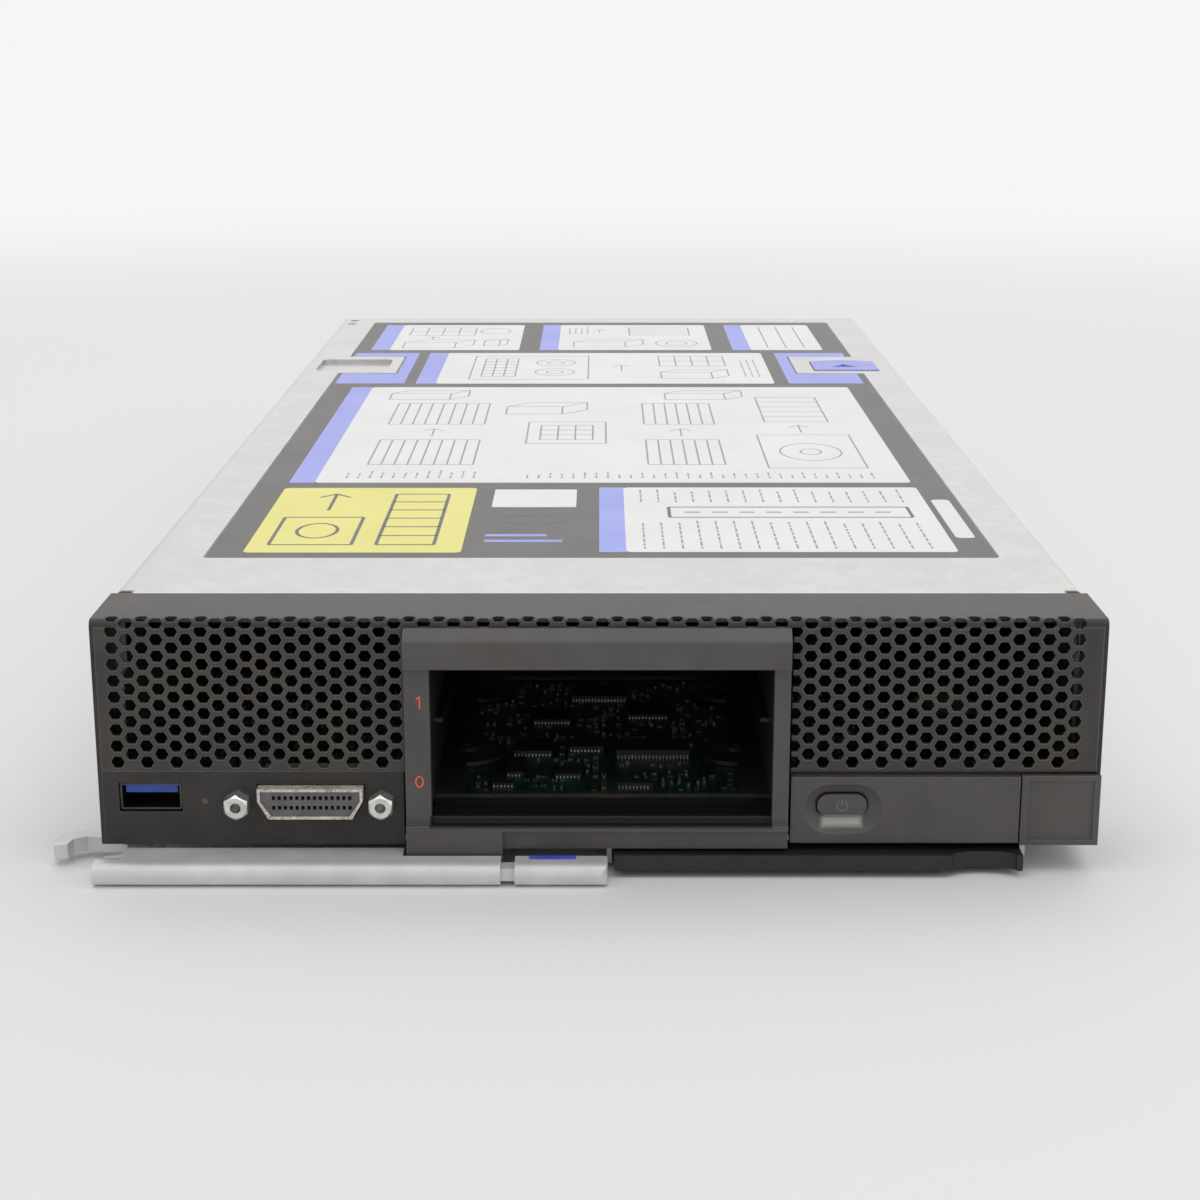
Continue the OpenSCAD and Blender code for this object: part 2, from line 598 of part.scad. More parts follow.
module cage_screws() color("#3c3c3d") for (p = CAGE_SCREWS) translate([p.x, p.y, board_top]) {
    head_z = bay_z0 - 1.4 + cage_t + lug_h - board_top;
    cylinder(r = 1.6, h = head_z);
    translate([0, 0, head_z]) difference() {
        cylinder(r1 = 2.8, r2 = 2.2, h = 0.75);
        translate([0, 0, 0.3]) cylinder(r = 1.1, h = 1, $fn = 6);
    }
}

module drive_backplane() color("#17402a") front_plate(cage_y + 0.05, 1.6)
    translate([bay_x0 - 1.4, board_top]) square([bay_x1 - bay_x0 + 2.8, bay_z1 - board_top + 1]);

module backplane_connectors() color("#19191b") for (z = [12.4, 28]) {
    difference() {
        block([-20, cage_y - 7, z], [20, cage_y + 0.05, z + 6]);
        block([-18, cage_y - 8, z + 2], [18, cage_y - 2, z + 4.4]);
    }
}

// ---------------------------------------------------------------- rear connectors

module signal_connector() color("#68686b") {
    y0 = rear_y - 26;
    rear_plate(rear_y - 9.5, 7) difference() {
        signal_outline();
        for (i = [0 : 5], k = [0 : 8]) translate([-91.3 + 1.94 * i, 6.05 + 1.42 * k]) square([1.36, 0.98]);
        translate([-75.6, 16.4]) circle(2.3);
        translate([-75.6, 10.4]) rotate(22.5) circle(2.45, $fn = 8);
    }
    rear_plate(y0, 16.5 + eps) difference() {
        translate([-92, board_top]) square([19.6, 19 - board_top]);
        translate([-79.4, 0]) square([0.6, 19.5]);
        translate([-75.6, 16.4]) circle(2.3);
    }
}

module signal_outline() {
    translate([-92, 5.4]) square([12.2, 13.6]);
    polygon([[-79.9, 5.8], [-77.2, 7.4], [-75.6, 7.2], [-73.4, 5.4], [-72.5, 5.4], [-72.5, 18.4], [-73.4, 18.9],
             [-79.9, 18.9]]);
}

// The square shroud on its leg, open to the rear
module power_connector() color("#77726f") {
    shroud = [[-76.6, 21.3], [-63.5, 35.7]];
    rear_plate(rear_y - 16, 13) difference() {
        round_rect(shroud[0], shroud[1], 0.5);
        round_rect(shroud[0] + [1.2, 1.1], shroud[1] - [1.1, 1.1], 0.4);
    }
    rear_plate(rear_y - 62, 46 + eps) round_rect(shroud[0] + [0.6, 0.6], shroud[1] - [0.6, 0.6], 0.5);
    rear_plate(rear_y - 62, 34) translate([-76, board_top]) square([12, 16]);
}

module power_contacts() color("#d9963a") for (x = [-73.6, -71.9, -68.3, -66.6])
    rear_plate(rear_y - 16 + eps, 6.5) for (z = [25, 28.6]) translate([x, z]) square([0.7, 2.8]);

module guide_tube() color("#6d6a64") {
    rear_plate(rear_y - 24, 12) difference() {
        translate([-17.6, 14.6]) circle(4.3);
        translate([-17.6, 14.6]) circle(3.9);
    }
    rear_plate(rear_y - 24, 12) difference() {
        translate([-19.6, board_top]) square([4, 4.4]);
        translate([-17.6, 14.6]) circle(4.2);
    }
}

// An upright post with crossed ribs and a round neck
module ribbed_post() color("#57575a") translate([20.3, rear_y - 30, board_top]) {
    cylinder(r = 2.6, h = 11);
    translate([0, 0, 11]) cylinder(r1 = 2.6, r2 = 3.7, h = 4);
    block([-0.9, -0.9, 15], [0.9, 0.9, 36]);
    for (k = [0 : 4]) translate([0, 0, 15 + k * 4.1]) {
        cylinder(r1 = 3.7, r2 = 2, h = 0.9);
        for (a = [0, 90]) rotate([90, 0, a]) translate([0, 0, -0.9]) linear_extrude(1.8)
            polygon([[-3.7, 0.5], [3.7, 0.5], [1, 3], [3.7, 4.4], [-3.7, 4.4], [-1, 3]]);
    }
    translate([0, 0, 35.5]) cylinder(r = 2.4, h = 3);
    translate([0, 0, 38.5]) cylinder(r = 1.5, h = 2.4);
}

LATCH_L = [97, rear_y - 17];
LATCH_R = [-21.5, rear_y - 18];

module latch_posts() color("#4a4a4d") {
    for (p = [LATCH_L, LATCH_R]) translate([p.x, p.y, board_top]) {
        cylinder(r1 = 2.6, r2 = 3.3, h = 4.2);
        translate([0, 0, 4.2]) cylinder(r = 4.3, h = 4.4, $fn = 6);
        translate([0, 0, 8.6]) cylinder(r = 3.8, h = 4.6);
        cylinder(r = 2, h = 36);
    }
}

// A retention latch: a sleeve that turns on its post, with a flat arm and a square eye
module mezzanine_latch(z_arm, reach) difference() {
    union() {
        translate([0, 0, 20]) cylinder(r = 4, h = 22);
        block([-reach, -1.6, z_arm], [0, 1.6, z_arm + 6.6]);
        rotate([90, 0, 0]) translate([0, 0, -1.6]) linear_extrude(3.2)
            polygon([[-9, z_arm + 0.1], [0, z_arm + 0.1], [0, z_arm - 7], [-3.9, z_arm - 7]]);
    }
    translate([0, 0, 18]) cylinder(r = 2 + hinge_gap, h = 40);
    block([-reach + 3.2, -3, z_arm + 2.2], [-reach + 6.6, 3, z_arm + 5.6]);
}

module latch_left() color("#8e8fdc") translate([LATCH_L.x, LATCH_L.y, 0]) mezzanine_latch(38.2, 22);
module latch_right() color("#8e8fdc") translate([LATCH_R.x, LATCH_R.y, 0]) mezzanine_latch(37, 24);

// The spring-loaded interlock inside the right column, seen through its slot and window
module interlock_slider() color("#5d5b55") translate([-101.2, cast_y, 0]) {
    block([-2.4, -1.6, 7.4], [2.4, -0.4, 29.6]);
    block([-1.3, -0.5, 26.9], [1.3, 4, 29.4]);
    difference() {
        rod_y(0, -0.5, 25.4, 1.15, 5.5);
        rod_y(0, 3, 25.4, 0.6, 3);
    }
    block([-2.4, -5.4, 7.4], [5, -0.4, 8.6]);
    block([2.2, -5.4, 4.8], [5, -0.4, 7.5]);
}

module interlock_spring() color("#9b9a96") translate([-101.4, cast_y - 3.3, pan_t]) coil(1.6, 0.3, 6.2 - pan_t, 5);

// ---------------------------------------------------------------- handle and tab

module handle_pivot() color("#8f8f8c") translate([pivot.x, pivot.y, 0]) {
    translate([0, 0, -5.6]) cylinder(r = 3.4, h = 0.8);
    translate([0, 0, -4.8]) cylinder(r = pivot_r, h = 4.8 + front_lift);
}

// The bar in section: a round nose and a flat back
module bar_section() {
    back = front_y - 4.4;
    nose = front_y - handle_reach;
    r = handle_h / 2;
    translate([nose + r, handle_top - r]) circle(r);
    translate([nose + r, handle_top - handle_h]) square([back - nose - r, handle_h]);
}

module release_handle() color("#a3a3a2") {
    difference() {
        translate([-108, 0, 0]) rotate([90, 0, 90]) linear_extrude(87) bar_section();
        block([-109, front_y - 6.6, -7], [-102.6, front_y - 3, 0]);
        block([-27, front_y - 9.4, -5.1], [-20, front_y - 5.2, -1.9]);
    }
    // the web that carries the bar's top back under the bezel
    flat_plate(handle_top - 1.8, 1.8)
        polygon([[-106.4, front_y - 5], [-102.6, front_y - 3], [-102.6, front_y + 0.4], [-42.2, front_y + 0.4],
                 [-42.2, front_y - 5]]);
    // link, pivot eye and hooked claw
    flat_plate(-4.6, 3.4) difference() {
        union() {
            translate([-102.6, front_y - 5]) square([5, 10]);
            translate(pivot) circle(4.6);
            polygon([[-101, pivot.y + 4.4], [-113, pivot.y + 5.4], [-118, pivot.y + 3.6], [-119.6, pivot.y - 1],
                     [-118.6, pivot.y - 4], [-116, pivot.y - 3], [-115.4, pivot.y], [-112.6, pivot.y + 1.6],
                     [-103, pivot.y + 0.4], [-100, pivot.y]]);
        }
        translate(pivot) circle(pivot_r + hinge_gap);
    }
}

// The sliding end of the bar, on a flat neck that runs in the bar's end
module handle_latch() color("#a9a8a7") {
    block([-24, front_y - 9.2, -4.9], [-17.9, front_y - 5.4, -2.1]);
    difference() {
        translate([-18, 0, 0]) rotate([90, 0, 90]) linear_extrude(19.8) bar_section();
        block([-15, front_y - 6.4, -1.8], [-5, front_y - 3, 0]);
        translate([-0.2, front_y - handle_reach - 1, -7]) difference() {
            cube([4, 4, 8]);
            translate([0, 3, -1]) cylinder(r = 2, h = 10);
        }
    }
}

module info_tab() color("#1f1f1f") {
    x0 = 3.2;
    flat_plate(tab_z - tab_t, tab_t) difference() {
        translate([x0, front_y - 4.4]) square([tab_w, tab_l]);
        translate([x0 + tab_w - 8.3, front_y - 4.4]) scale([1, 0.35]) circle(7);
    }
}

// The channel under the pan that the tab slides in
module tab_rails() color("#a9abad") {
    y0 = front_y + 2;
    for (x = [1.6, 3.2 + tab_w + 0.3]) block([x, y0, -5.2], [x + 1.2, y0 + 70, front_lift]);
    block([2.8, y0 + 30, -5.2], [3.2 + tab_w + 0.3, y0 + 70, -4.8]);
}

// ---------------------------------------------------------------- cover

LABEL = [[-93.5, front_y + 56.3], [94.5, front_y + 467.4]];

// The sunk field that the label fills, less the two raised islands at its sides
module label_outline(g) difference() {
    round_rect(LABEL[0] - [g, g], LABEL[1] + [g, g], 1.5);
    translate([70.8 + g, front_y + 333 + g]) square([40, 39 - 2 * g]);
    translate([-72.9 - 40 - g, front_y + 334 + g]) square([40, 38.5 - 2 * g]);
}

// Outline of the push button: square with a bowed rear edge
module button_outline(g) {
    translate([77.6 - g, front_y + 339 - g]) square([23 + 2 * g, 19 + g]);
    intersection() {
        translate([77.6 - g, front_y + 350]) square([23 + 2 * g, 20]);
        translate([89.1, front_y + 358 - 22]) circle(26 + g, $fn = 96);
    }
}

// The solid that the cover's sheet wraps, drawn in by g: round along its sides and rear edge
module cover_form(g) {
    r = cover_r - g;
    y0 = cover_y - (g > 0 ? 1 : 0);
    y1 = rear_y - g;
    intersection() {
        translate([0, y1, 0]) rotate([90, 0, 0]) linear_extrude(y1 - y0)
            round_rect([-side_x + g, 0], [side_x - g, body_h - g], r);
        translate([-side_x, 0, 0]) rotate([90, 0, 90]) linear_extrude(2 * side_x) {
            translate([y0, 0]) square([y1 - r - y0, body_h - g]);
            translate([y0, 0]) square([y1 - y0, body_h - g - r]);
            translate([y1 - r, body_h - g - r]) circle(r);
        }
    }
}

// What is cut from the cover's turned-down rear edge: it leaves a lip, gussets and tabs
module rear_opening() for (s = [-1, 1]) scale([s, 1]) difference() {
    polygon([[-1, 0], [-1, 48], [83.6, 48], [85.6, 47.7], [87.3, 46.9], [89, 45.8], [91, 45.2], [100.4, 45.2],
             [105.3, 48.8], [106.1, 48.2], [101.2, 44], [side_x + 1, 44], [side_x + 1, 0]]);
    round_rect([94.3, lip_z + 0.2], [side_x + 2, 44], 4.4);
    translate([101, lip_z + 0.2]) square([10, 9.8]);
}

module top_cover() color("#c4c6c7") {
    top = body_h - cover_t;
    dish = [[-102.5, front_y + 339], [-76.6, front_y + 366]];
    difference() {
        union() {
            difference() {
                cover_form(0);
                cover_form(cover_t);
                block([-side_x - 1, cover_y - 2, -1], [side_x + 1, rear_y - cover_t - 0.2, lip_z]);
            }
            flat_plate(top - 1.6, 1.7) round_rect(dish[0] - [0.8, 0.8], dish[1] + [0.8, 0.8], 3.8);
        }
        rear_plate(rear_y - cover_t - 0.3, cover_t + 1) rear_opening();
        // the front edge is joggled down under the bezel's band
        translate([-side_x - 1, 0, 0]) rotate([90, 0, 90]) linear_extrude(2 * side_x + 2)
            polygon([[cover_y - 1, body_h - 0.55], [cover_y + 1.4, body_h - 0.55], [cover_y + 2.4, body_h + 0.1],
                     [cover_y - 1, body_h + 0.1]]);
        flat_plate(body_h - 0.35, 1) label_outline(0);
        flat_plate(body_h - 1.7, 3) round_rect(dish[0], dish[1], 3);
        flat_plate(top - 4, 8) button_outline(0.3);
        for (y = [463.6, 473]) translate([-102.5, front_y + y, top - 1]) cylinder(r = 1.85, h = 3);
    }
    for (x = [-100.5, 100.5]) {
        rod_y(x, rear_y - 8, 39.3, 2.05, 8.1);
        translate([x, rear_y + 0.1, 39.3]) rotate([-90, 0, 0]) cylinder(r1 = 2.05, r2 = 1.75, h = 0.2);
    }
}

module cover_label() color("#6b6863") flat_plate(body_h - 0.35, 0.25) label_outline(-0.3);

module cover_button() color("#9598e6") difference() {
    union() {
        flat_plate(body_h - 2.6, 2.9) button_outline(0);
        flat_plate(body_h - 3.8, 2.3) button_outline(1.4);
    }
    flat_plate(body_h - 0.5, 1) polygon([[84.6, front_y + 346], [93.6, front_y + 346], [89.1, front_y + 352]]);
}

// ---------------------------------------------------------------- all pieces

base_tray();
rear_casting();
casting_bars();
casting_columns();
casting_rivets();
tray_screws();
mainboard();
board_standoffs();
board_screws();
bezel_band();
grilles();
fascia_left();
fascia_right();
bay_frame();
operator_panel();
label_plate();
power_button();
status_led();
usb_shell();
usb_tongue();
kvm_shell();
kvm_insert();
kvm_standoffs();
drive_cage();
cage_screws();
drive_backplane();
backplane_connectors();
processor_sockets();
processors();
heatsinks();
heatsink_screws();
memory_sockets();
memory_modules();
power_chokes();
capacitors();
board_chips();
chipset_heatsink();
push_pins();
push_pin_springs();
mezzanine_connectors();
battery_holder();
coin_cell();
signal_connector();
power_connector();
power_contacts();
guide_tube();
ribbed_post();
latch_posts();
latch_left();
latch_right();
interlock_slider();
interlock_spring();
handle_pivot();
release_handle();
handle_latch();
info_tab();
tab_rails();
top_cover();
cover_label();
cover_button();
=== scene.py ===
import math

import bpy
import numpy as np
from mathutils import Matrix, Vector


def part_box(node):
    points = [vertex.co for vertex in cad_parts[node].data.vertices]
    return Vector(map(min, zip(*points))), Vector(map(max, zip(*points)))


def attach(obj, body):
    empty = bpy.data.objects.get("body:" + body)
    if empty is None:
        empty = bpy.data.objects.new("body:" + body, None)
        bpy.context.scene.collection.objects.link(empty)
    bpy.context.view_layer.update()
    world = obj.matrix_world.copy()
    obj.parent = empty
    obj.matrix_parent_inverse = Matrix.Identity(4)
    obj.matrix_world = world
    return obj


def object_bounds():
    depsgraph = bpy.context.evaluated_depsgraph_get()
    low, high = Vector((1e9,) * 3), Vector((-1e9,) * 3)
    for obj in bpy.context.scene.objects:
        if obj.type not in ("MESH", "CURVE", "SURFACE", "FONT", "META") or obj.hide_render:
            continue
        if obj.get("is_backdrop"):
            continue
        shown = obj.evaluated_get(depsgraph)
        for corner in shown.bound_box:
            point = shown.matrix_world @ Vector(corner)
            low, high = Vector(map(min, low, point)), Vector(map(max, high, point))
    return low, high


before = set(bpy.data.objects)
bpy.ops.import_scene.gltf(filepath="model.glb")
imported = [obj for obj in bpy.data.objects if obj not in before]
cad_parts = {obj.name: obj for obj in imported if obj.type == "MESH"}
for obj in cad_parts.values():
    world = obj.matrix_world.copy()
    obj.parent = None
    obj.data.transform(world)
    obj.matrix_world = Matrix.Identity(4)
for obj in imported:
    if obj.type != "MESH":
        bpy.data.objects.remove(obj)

cad_low, cad_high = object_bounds()

# ---------------------------------------------------------------- pan and side walls
# The pan, its two side walls and the channel for the pull-out tab are hot-dip galvanised sheet steel,
# blanked and folded on a press brake. The zinc shows as faint flat spangles with a rolled, satin gloss.

MM = 0.001


def linear(shade):
    """An sRGB hex shade as linear RGBA: c / 12.92 up to 0.04045, else ((c + 0.055) / 1.055) ** 2.4."""
    channels = np.array([int(shade[start : start + 2], 16) for start in (1, 3, 5)]) / 255
    dark = channels / 12.92
    bright = ((channels + 0.055) / 1.055) ** 2.4
    return (*np.where(channels <= 0.04045, dark, bright).tolist(), 1.0)


def add_node(tree, kind, sockets=None, stops=(), **settings):
    """Adds one shader node. A socket takes a plain value, a hex shade or another node's output.

    Stops are a colour ramp's (position, shade) pairs.
    """
    made = tree.nodes.new("ShaderNode" + kind)
    for name, value in settings.items():
        setattr(made, name, value)
    for name, value in (sockets or {}).items():
        if isinstance(value, bpy.types.NodeSocket):
            tree.links.new(value, made.inputs[name])
        else:
            made.inputs[name].default_value = linear(value) if isinstance(value, str) else value
    for index, (position, shade) in enumerate(stops):
        element = made.color_ramp.elements[index]
        element.position = position
        element.color = linear(shade)
    return made


def finish(name, shades, mottle_mm, roughness, grain_mm, depth_mm, along=(1, 1, 1), round_mm=0.15,
           edge_wear_and_glint=None, **sockets):
    """A finish whose colour drifts between two shades, with a grain in its gloss and its relief.

    The middle of a noise of mottle_mm, 0.36 to 0.64, runs from one shade to the other. The middle of a
    noise of grain_mm, drawn out by along, runs between the two roughnesses, and the same noise lifts the
    surface by up to depth_mm. Corners are eased over round_mm. The edge shade, where given, shows up to six
    tenths where the eased normal leans from the flat one by a cosine of 0.99 down to 0.8. It stands for wear
    along the corners, and on some finishes it is a painted highlight for the light that the edges catch. A
    real grain finer than 0.2 mm is drawn at 0.2 mm or more, so that it shows.
    """
    made = bpy.data.materials.new(name)
    made.use_nodes = True
    tree = made.node_tree
    shader = tree.nodes["Principled BSDF"]
    for socket, value in sockets.items():
        shader.inputs[socket.replace("_", " ")].default_value = value
    place = add_node(tree, "TexCoord").outputs["Object"]
    mottle = add_node(tree, "TexNoise", {"Vector": place, "Scale": 1 / (mottle_mm * MM), "Detail": 3.0})
    colour = add_node(tree, "ValToRGB", {"Fac": mottle.outputs["Fac"]},
                      stops=[(0.36, shades[0]), (0.64, shades[1])]).outputs["Color"]
    drawn = add_node(tree, "Mapping", {"Vector": place, "Scale": [1 / stretch for stretch in along]})
    grain = add_node(tree, "TexNoise", {"Vector": drawn.outputs["Vector"], "Scale": 1 / (grain_mm * MM),
                                        "Detail": 4.0})
    gloss = add_node(tree, "MapRange", {"Value": grain.outputs["Fac"], "From Min": 0.3, "From Max": 0.7,
                                        "To Min": roughness[0], "To Max": roughness[1]})
    eased = add_node(tree, "Bevel", {"Radius": round_mm * MM}, samples=4).outputs["Normal"]
    relief = add_node(tree, "Bump", {"Height": grain.outputs["Fac"], "Normal": eased,
                                     "Distance": depth_mm * MM})
    if edge_wear_and_glint:
        flat = add_node(tree, "NewGeometry").outputs["Normal"]
        turn = add_node(tree, "VectorMath", {0: eased, 1: flat}, operation="DOT_PRODUCT").outputs["Value"]
        wear_and_glint_share = add_node(tree, "MapRange", {"Value": turn, "From Min": 0.99, "From Max": 0.8, "To Max": 0.6})
        colour = add_node(tree, "MixRGB", {"Fac": wear_and_glint_share.outputs[0], "Color1": colour,
                                           "Color2": edge_wear_and_glint}).outputs["Color"]
    tree.links.new(colour, shader.inputs["Base Color"])
    tree.links.new(gloss.outputs[0], shader.inputs["Roughness"])
    tree.links.new(relief.outputs[0], shader.inputs["Normal"])
    return made


def dress(material, *names):
    """Puts a finish into every material slot of CAD nodes, or into a first slot where there is none."""
    for name in names:
        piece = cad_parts[name]
        if not piece.material_slots:
            piece.data.materials.append(material)
        for slot in piece.material_slots:
            slot.material = material


def object_place(material):
    """The object coordinates that a finish already reads."""
    nodes = material.node_tree.nodes
    return next(node for node in nodes if node.type == "TEX_COORD").outputs["Object"]


def layer(material, factor, shade):
    """Mixes a shade over what already feeds the material's base colour, by a factor output."""
    tree = material.node_tree
    base = tree.nodes["Principled BSDF"].inputs["Base Color"]
    under = base.links[0].from_socket
    over = add_node(tree, "MixRGB", {"Fac": factor, "Color1": under, "Color2": shade})
    tree.links.new(over.outputs["Color"], base)


def spangle(material, size_mm, shade):
    """Zinc crystals: each Voronoi cell of size_mm takes its own share, up to 0.45, of a second shade."""
    tree = material.node_tree
    crystal = add_node(tree, "TexVoronoi", {"Vector": object_place(material), "Scale": 1 / (size_mm * MM)})
    own = add_node(tree, "SeparateColor", {"Color": crystal.outputs["Color"]})
    share = add_node(tree, "MapRange", {"Value": own.outputs[0], "To Max": 0.45})
    layer(material, share.outputs[0], shade)


# Galvanised mild steel: bright, nearly neutral zinc, rolled along the length.
galvanised_sheet_steel = finish(
    "galvanised_sheet_steel", ("#b9b9b8", "#c2c2c1"), mottle_mm=14, roughness=(0.3, 0.44), grain_mm=0.35,
    depth_mm=0.012, along=(1, 6, 1), edge_wear_and_glint="#dcdddd", Metallic=1.0)
spangle(galvanised_sheet_steel, 3.2, "#adadac")
dress(galvanised_sheet_steel, "base_tray", "tab_rails")

# Zinc-plated and clear-passivated screws, studs and springs: bright, with turned faces.
zinc_plated_steel = finish(
    "zinc_plated_steel", ("#b9bab6", "#cbccc8"), mottle_mm=2, roughness=(0.22, 0.38), grain_mm=0.2,
    depth_mm=0.01, Metallic=1.0)
dress(zinc_plated_steel, "tray_screws", "board_screws", "heatsink_screws", "handle_pivot",
      "interlock_spring", "push_pin_springs")

# The pillars that lift the board are steel under a darker passivation: a dull grey.
grey_passivate = finish(
    "grey_passivate", ("#6e6f6c", "#81827f"), mottle_mm=3, roughness=(0.35, 0.5), grain_mm=0.2,
    depth_mm=0.01, Metallic=1.0)
dress(grey_passivate, "board_standoffs")

# ---------------------------------------------------------------- rear casting
# The rear end frame is die-cast zinc under a champagne passivation: sills, bars and columns, riveted to
# the pan's side walls. Its faces are smooth from the die, and its tops keep a grey, granular skin. That
# skin is drawn pale where the faces look up, partly a painted highlight for the light from above.

# Passivated zinc: half metallic under its film and warm. Its eased corners take a pale shade, a painted
# highlight for the light that the edges catch.
passivated_zinc_casting = finish(
    "passivated_zinc_casting", ("#b0a68e", "#cbc2a9"), mottle_mm=6, roughness=(0.32, 0.5), grain_mm=0.5,
    depth_mm=0.05, round_mm=0.5, edge_wear_and_glint="#f3ecd9", Metallic=0.55)


def top_grit_and_light(material, shade, grit_mm):
    """Upward faces: a shade in grains, from where the normal's height is 0.75 and full at 0.85.

    Its share falls from 1 to 0.45 as a noise of grit_mm goes from 0.38 to 0.6. A pale shade here stands
    partly for the light from above, as a painted highlight.
    """
    tree = material.node_tree
    normal = add_node(tree, "NewGeometry").outputs["Normal"]
    up = add_node(tree, "SeparateXYZ", {"Vector": normal}).outputs["Z"]
    grit = add_node(tree, "TexNoise", {"Vector": object_place(material), "Scale": 1 / (grit_mm * MM),
                                       "Detail": 6.0, "Roughness": 0.8})
    facing = add_node(tree, "MapRange", {"Value": up, "From Min": 0.75, "From Max": 0.85})
    share = add_node(tree, "MapRange", {"Value": grit.outputs["Fac"], "From Min": 0.38, "From Max": 0.6,
                                        "To Min": 1.0, "To Max": 0.45})
    both = add_node(tree, "Math", {0: facing.outputs[0], 1: share.outputs[0]}, operation="MULTIPLY")
    layer(material, both.outputs[0], shade)


# The trimmed flash has a grit of about 0.2 mm, drawn at 0.7 mm so that it shows. Its pale shade on
# upward faces is partly the grey skin and partly a painted highlight for the light from above.
top_grit_and_light(passivated_zinc_casting, "#c6c2bc", 0.7)
dress(passivated_zinc_casting, "rear_casting", "casting_bars", "casting_columns")
dress(zinc_plated_steel, "casting_rivets")

# ---------------------------------------------------------------- main board
# The main board is glass-epoxy laminate under green solder mask. Copper tracks lift the mask a little,
# vias and pads are tinned, and hundreds of small ceramic parts stand between the large ones.

# Solder mask over epoxy: dark green, a low sheen with the weave's fine waves.
solder_masked_laminate = finish(
    "solder_masked_laminate", ("#0a1d13", "#0f2618"), mottle_mm=6, roughness=(0.28, 0.42), grain_mm=0.6,
    depth_mm=0.01, IOR=1.55)


def tracks(material, pitch_mm, shade):
    """Copper under the mask: square Voronoi cells stretched into runs, their seams kept as tracks.

    A cell of pitch_mm across is 3.6 times as long. Its seam is where the distance from its point goes
    from 0.36 to 0.44, and takes up to six tenths of the shade.
    """
    tree = material.node_tree
    runs = add_node(tree, "Mapping", {"Vector": object_place(material), "Scale": (1.0, 0.28, 1.0)})
    cell = add_node(tree, "TexVoronoi", {"Vector": runs.outputs[0], "Scale": 1 / (pitch_mm * MM)},
                    distance="CHEBYCHEV")
    seam = add_node(tree, "MapRange", {"Value": cell.outputs["Distance"], "From Min": 0.36,
                                       "From Max": 0.44, "To Max": 0.6})
    layer(material, seam.outputs[0], shade)


# Real tracks stand about 0.4 mm apart; they are drawn four times coarser, so that they show.
tracks(solder_masked_laminate, 1.6, "#1e4430")
dress(solder_masked_laminate, "mainboard", "drive_backplane")


def skin(stacks):
    """Places and faces of closed stacks of rings, from an array (stacks, rings, points, 3).

    Each point of a ring is joined to the next point and to the next ring by a quad. One face closes the
    first ring and one the last, so rings run anticlockwise seen from beyond the last.
    """
    count, rings, points = stacks.shape[:3]
    at = np.arange(count * rings * points).reshape(count, rings, points)
    beside = np.roll(at, -1, axis=2)
    quads = np.stack([at[:, :-1], beside[:, :-1], beside[:, 1:], at[:, 1:]], -1).reshape(-1, 4)
    return stacks.reshape(-1, 3), quads.tolist() + at[:, 0, ::-1].tolist() + at[:, -1].tolist()


def add_piece(name, body, slot, material, *skins):
    """One mesh object from (places, faces) pairs, riding on a body, its place in its mesh."""
    places, faces, start = [], [], 0
    for corners, sides in skins:
        places.append(corners)
        faces += [[start + corner for corner in side] for side in sides]
        start += len(corners)
    mesh = bpy.data.meshes.new(name)
    mesh.from_pydata(np.concatenate(places).tolist(), [], faces)
    mesh.update()
    mesh.materials.append(material)
    made = bpy.data.objects.new(name, mesh)
    bpy.context.scene.collection.objects.link(made)
    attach(made, body)
    return made


def prisms(plan, low_z, high_z):
    """Stacks of two rings: outlines in plan, (count, points, 2), at a low and at a high z."""
    count, points = plan.shape[:2]
    levels = np.stack([np.broadcast_to(low_z, count), np.broadcast_to(high_z, count)], 1)
    level = np.broadcast_to(levels[:, :, None, None], (count, 2, points, 1))
    return np.concatenate([np.broadcast_to(plan[:, None], (count, 2, points, 2)), level], -1)


def blocks(low, high):
    """Boxes: the square ring (low, high) in x and y, at the low and the high z, for arrays of corners."""
    low, high = np.atleast_2d(low).astype(float), np.atleast_2d(high).astype(float)
    turn = np.array([[0, 0], [1, 0], [1, 1], [0, 1]])
    plan = low[:, None, :2] + turn * (high - low)[:, None, :2]
    return prisms(plan, low[:, 2], high[:, 2])


board_low, board_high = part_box("mainboard")
board_top = board_high.z


def clear_of_parts(low, high, gap):
    """True for each rectangle in plan that no part near the board's top comes within gap of.

    A part counts by the plan bounds of its triangles between 1 mm under the board's top and 2 mm over it.
    The rectangles are tested in forty batches, to hold the memory down.
    """
    spans = []
    for name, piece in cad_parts.items():
        if name in ("mainboard", "base_tray", "top_cover", "cover_label"):
            continue
        mesh = piece.data
        mesh.calc_loop_triangles()
        corner = np.empty(len(mesh.loop_triangles) * 3, np.int64)
        mesh.loop_triangles.foreach_get("vertices", corner)
        place = np.empty(len(mesh.vertices) * 3)
        mesh.vertices.foreach_get("co", place)
        triangle = place.reshape(-1, 3)[corner].reshape(-1, 3, 3)
        height = triangle[:, :, 2]
        near = (height.min(1) < board_top + 2 * MM) & (height.max(1) > board_top - MM)
        spans.append(np.concatenate([triangle[near, :, :2].min(1), triangle[near, :, :2].max(1)], 1))
    part_low, part_high = np.split(np.concatenate(spans), 2, axis=1)
    free = np.ones(len(low), bool)
    for batch in np.array_split(np.arange(len(low)), 40):
        meets = np.ones((len(batch), len(part_low)), bool)
        for axis in (0, 1):
            meets &= low[batch, axis][:, None] - gap < part_high[:, axis]
            meets &= high[batch, axis][:, None] + gap > part_low[:, axis]
        free[batch] = ~meets.any(1)
    return free


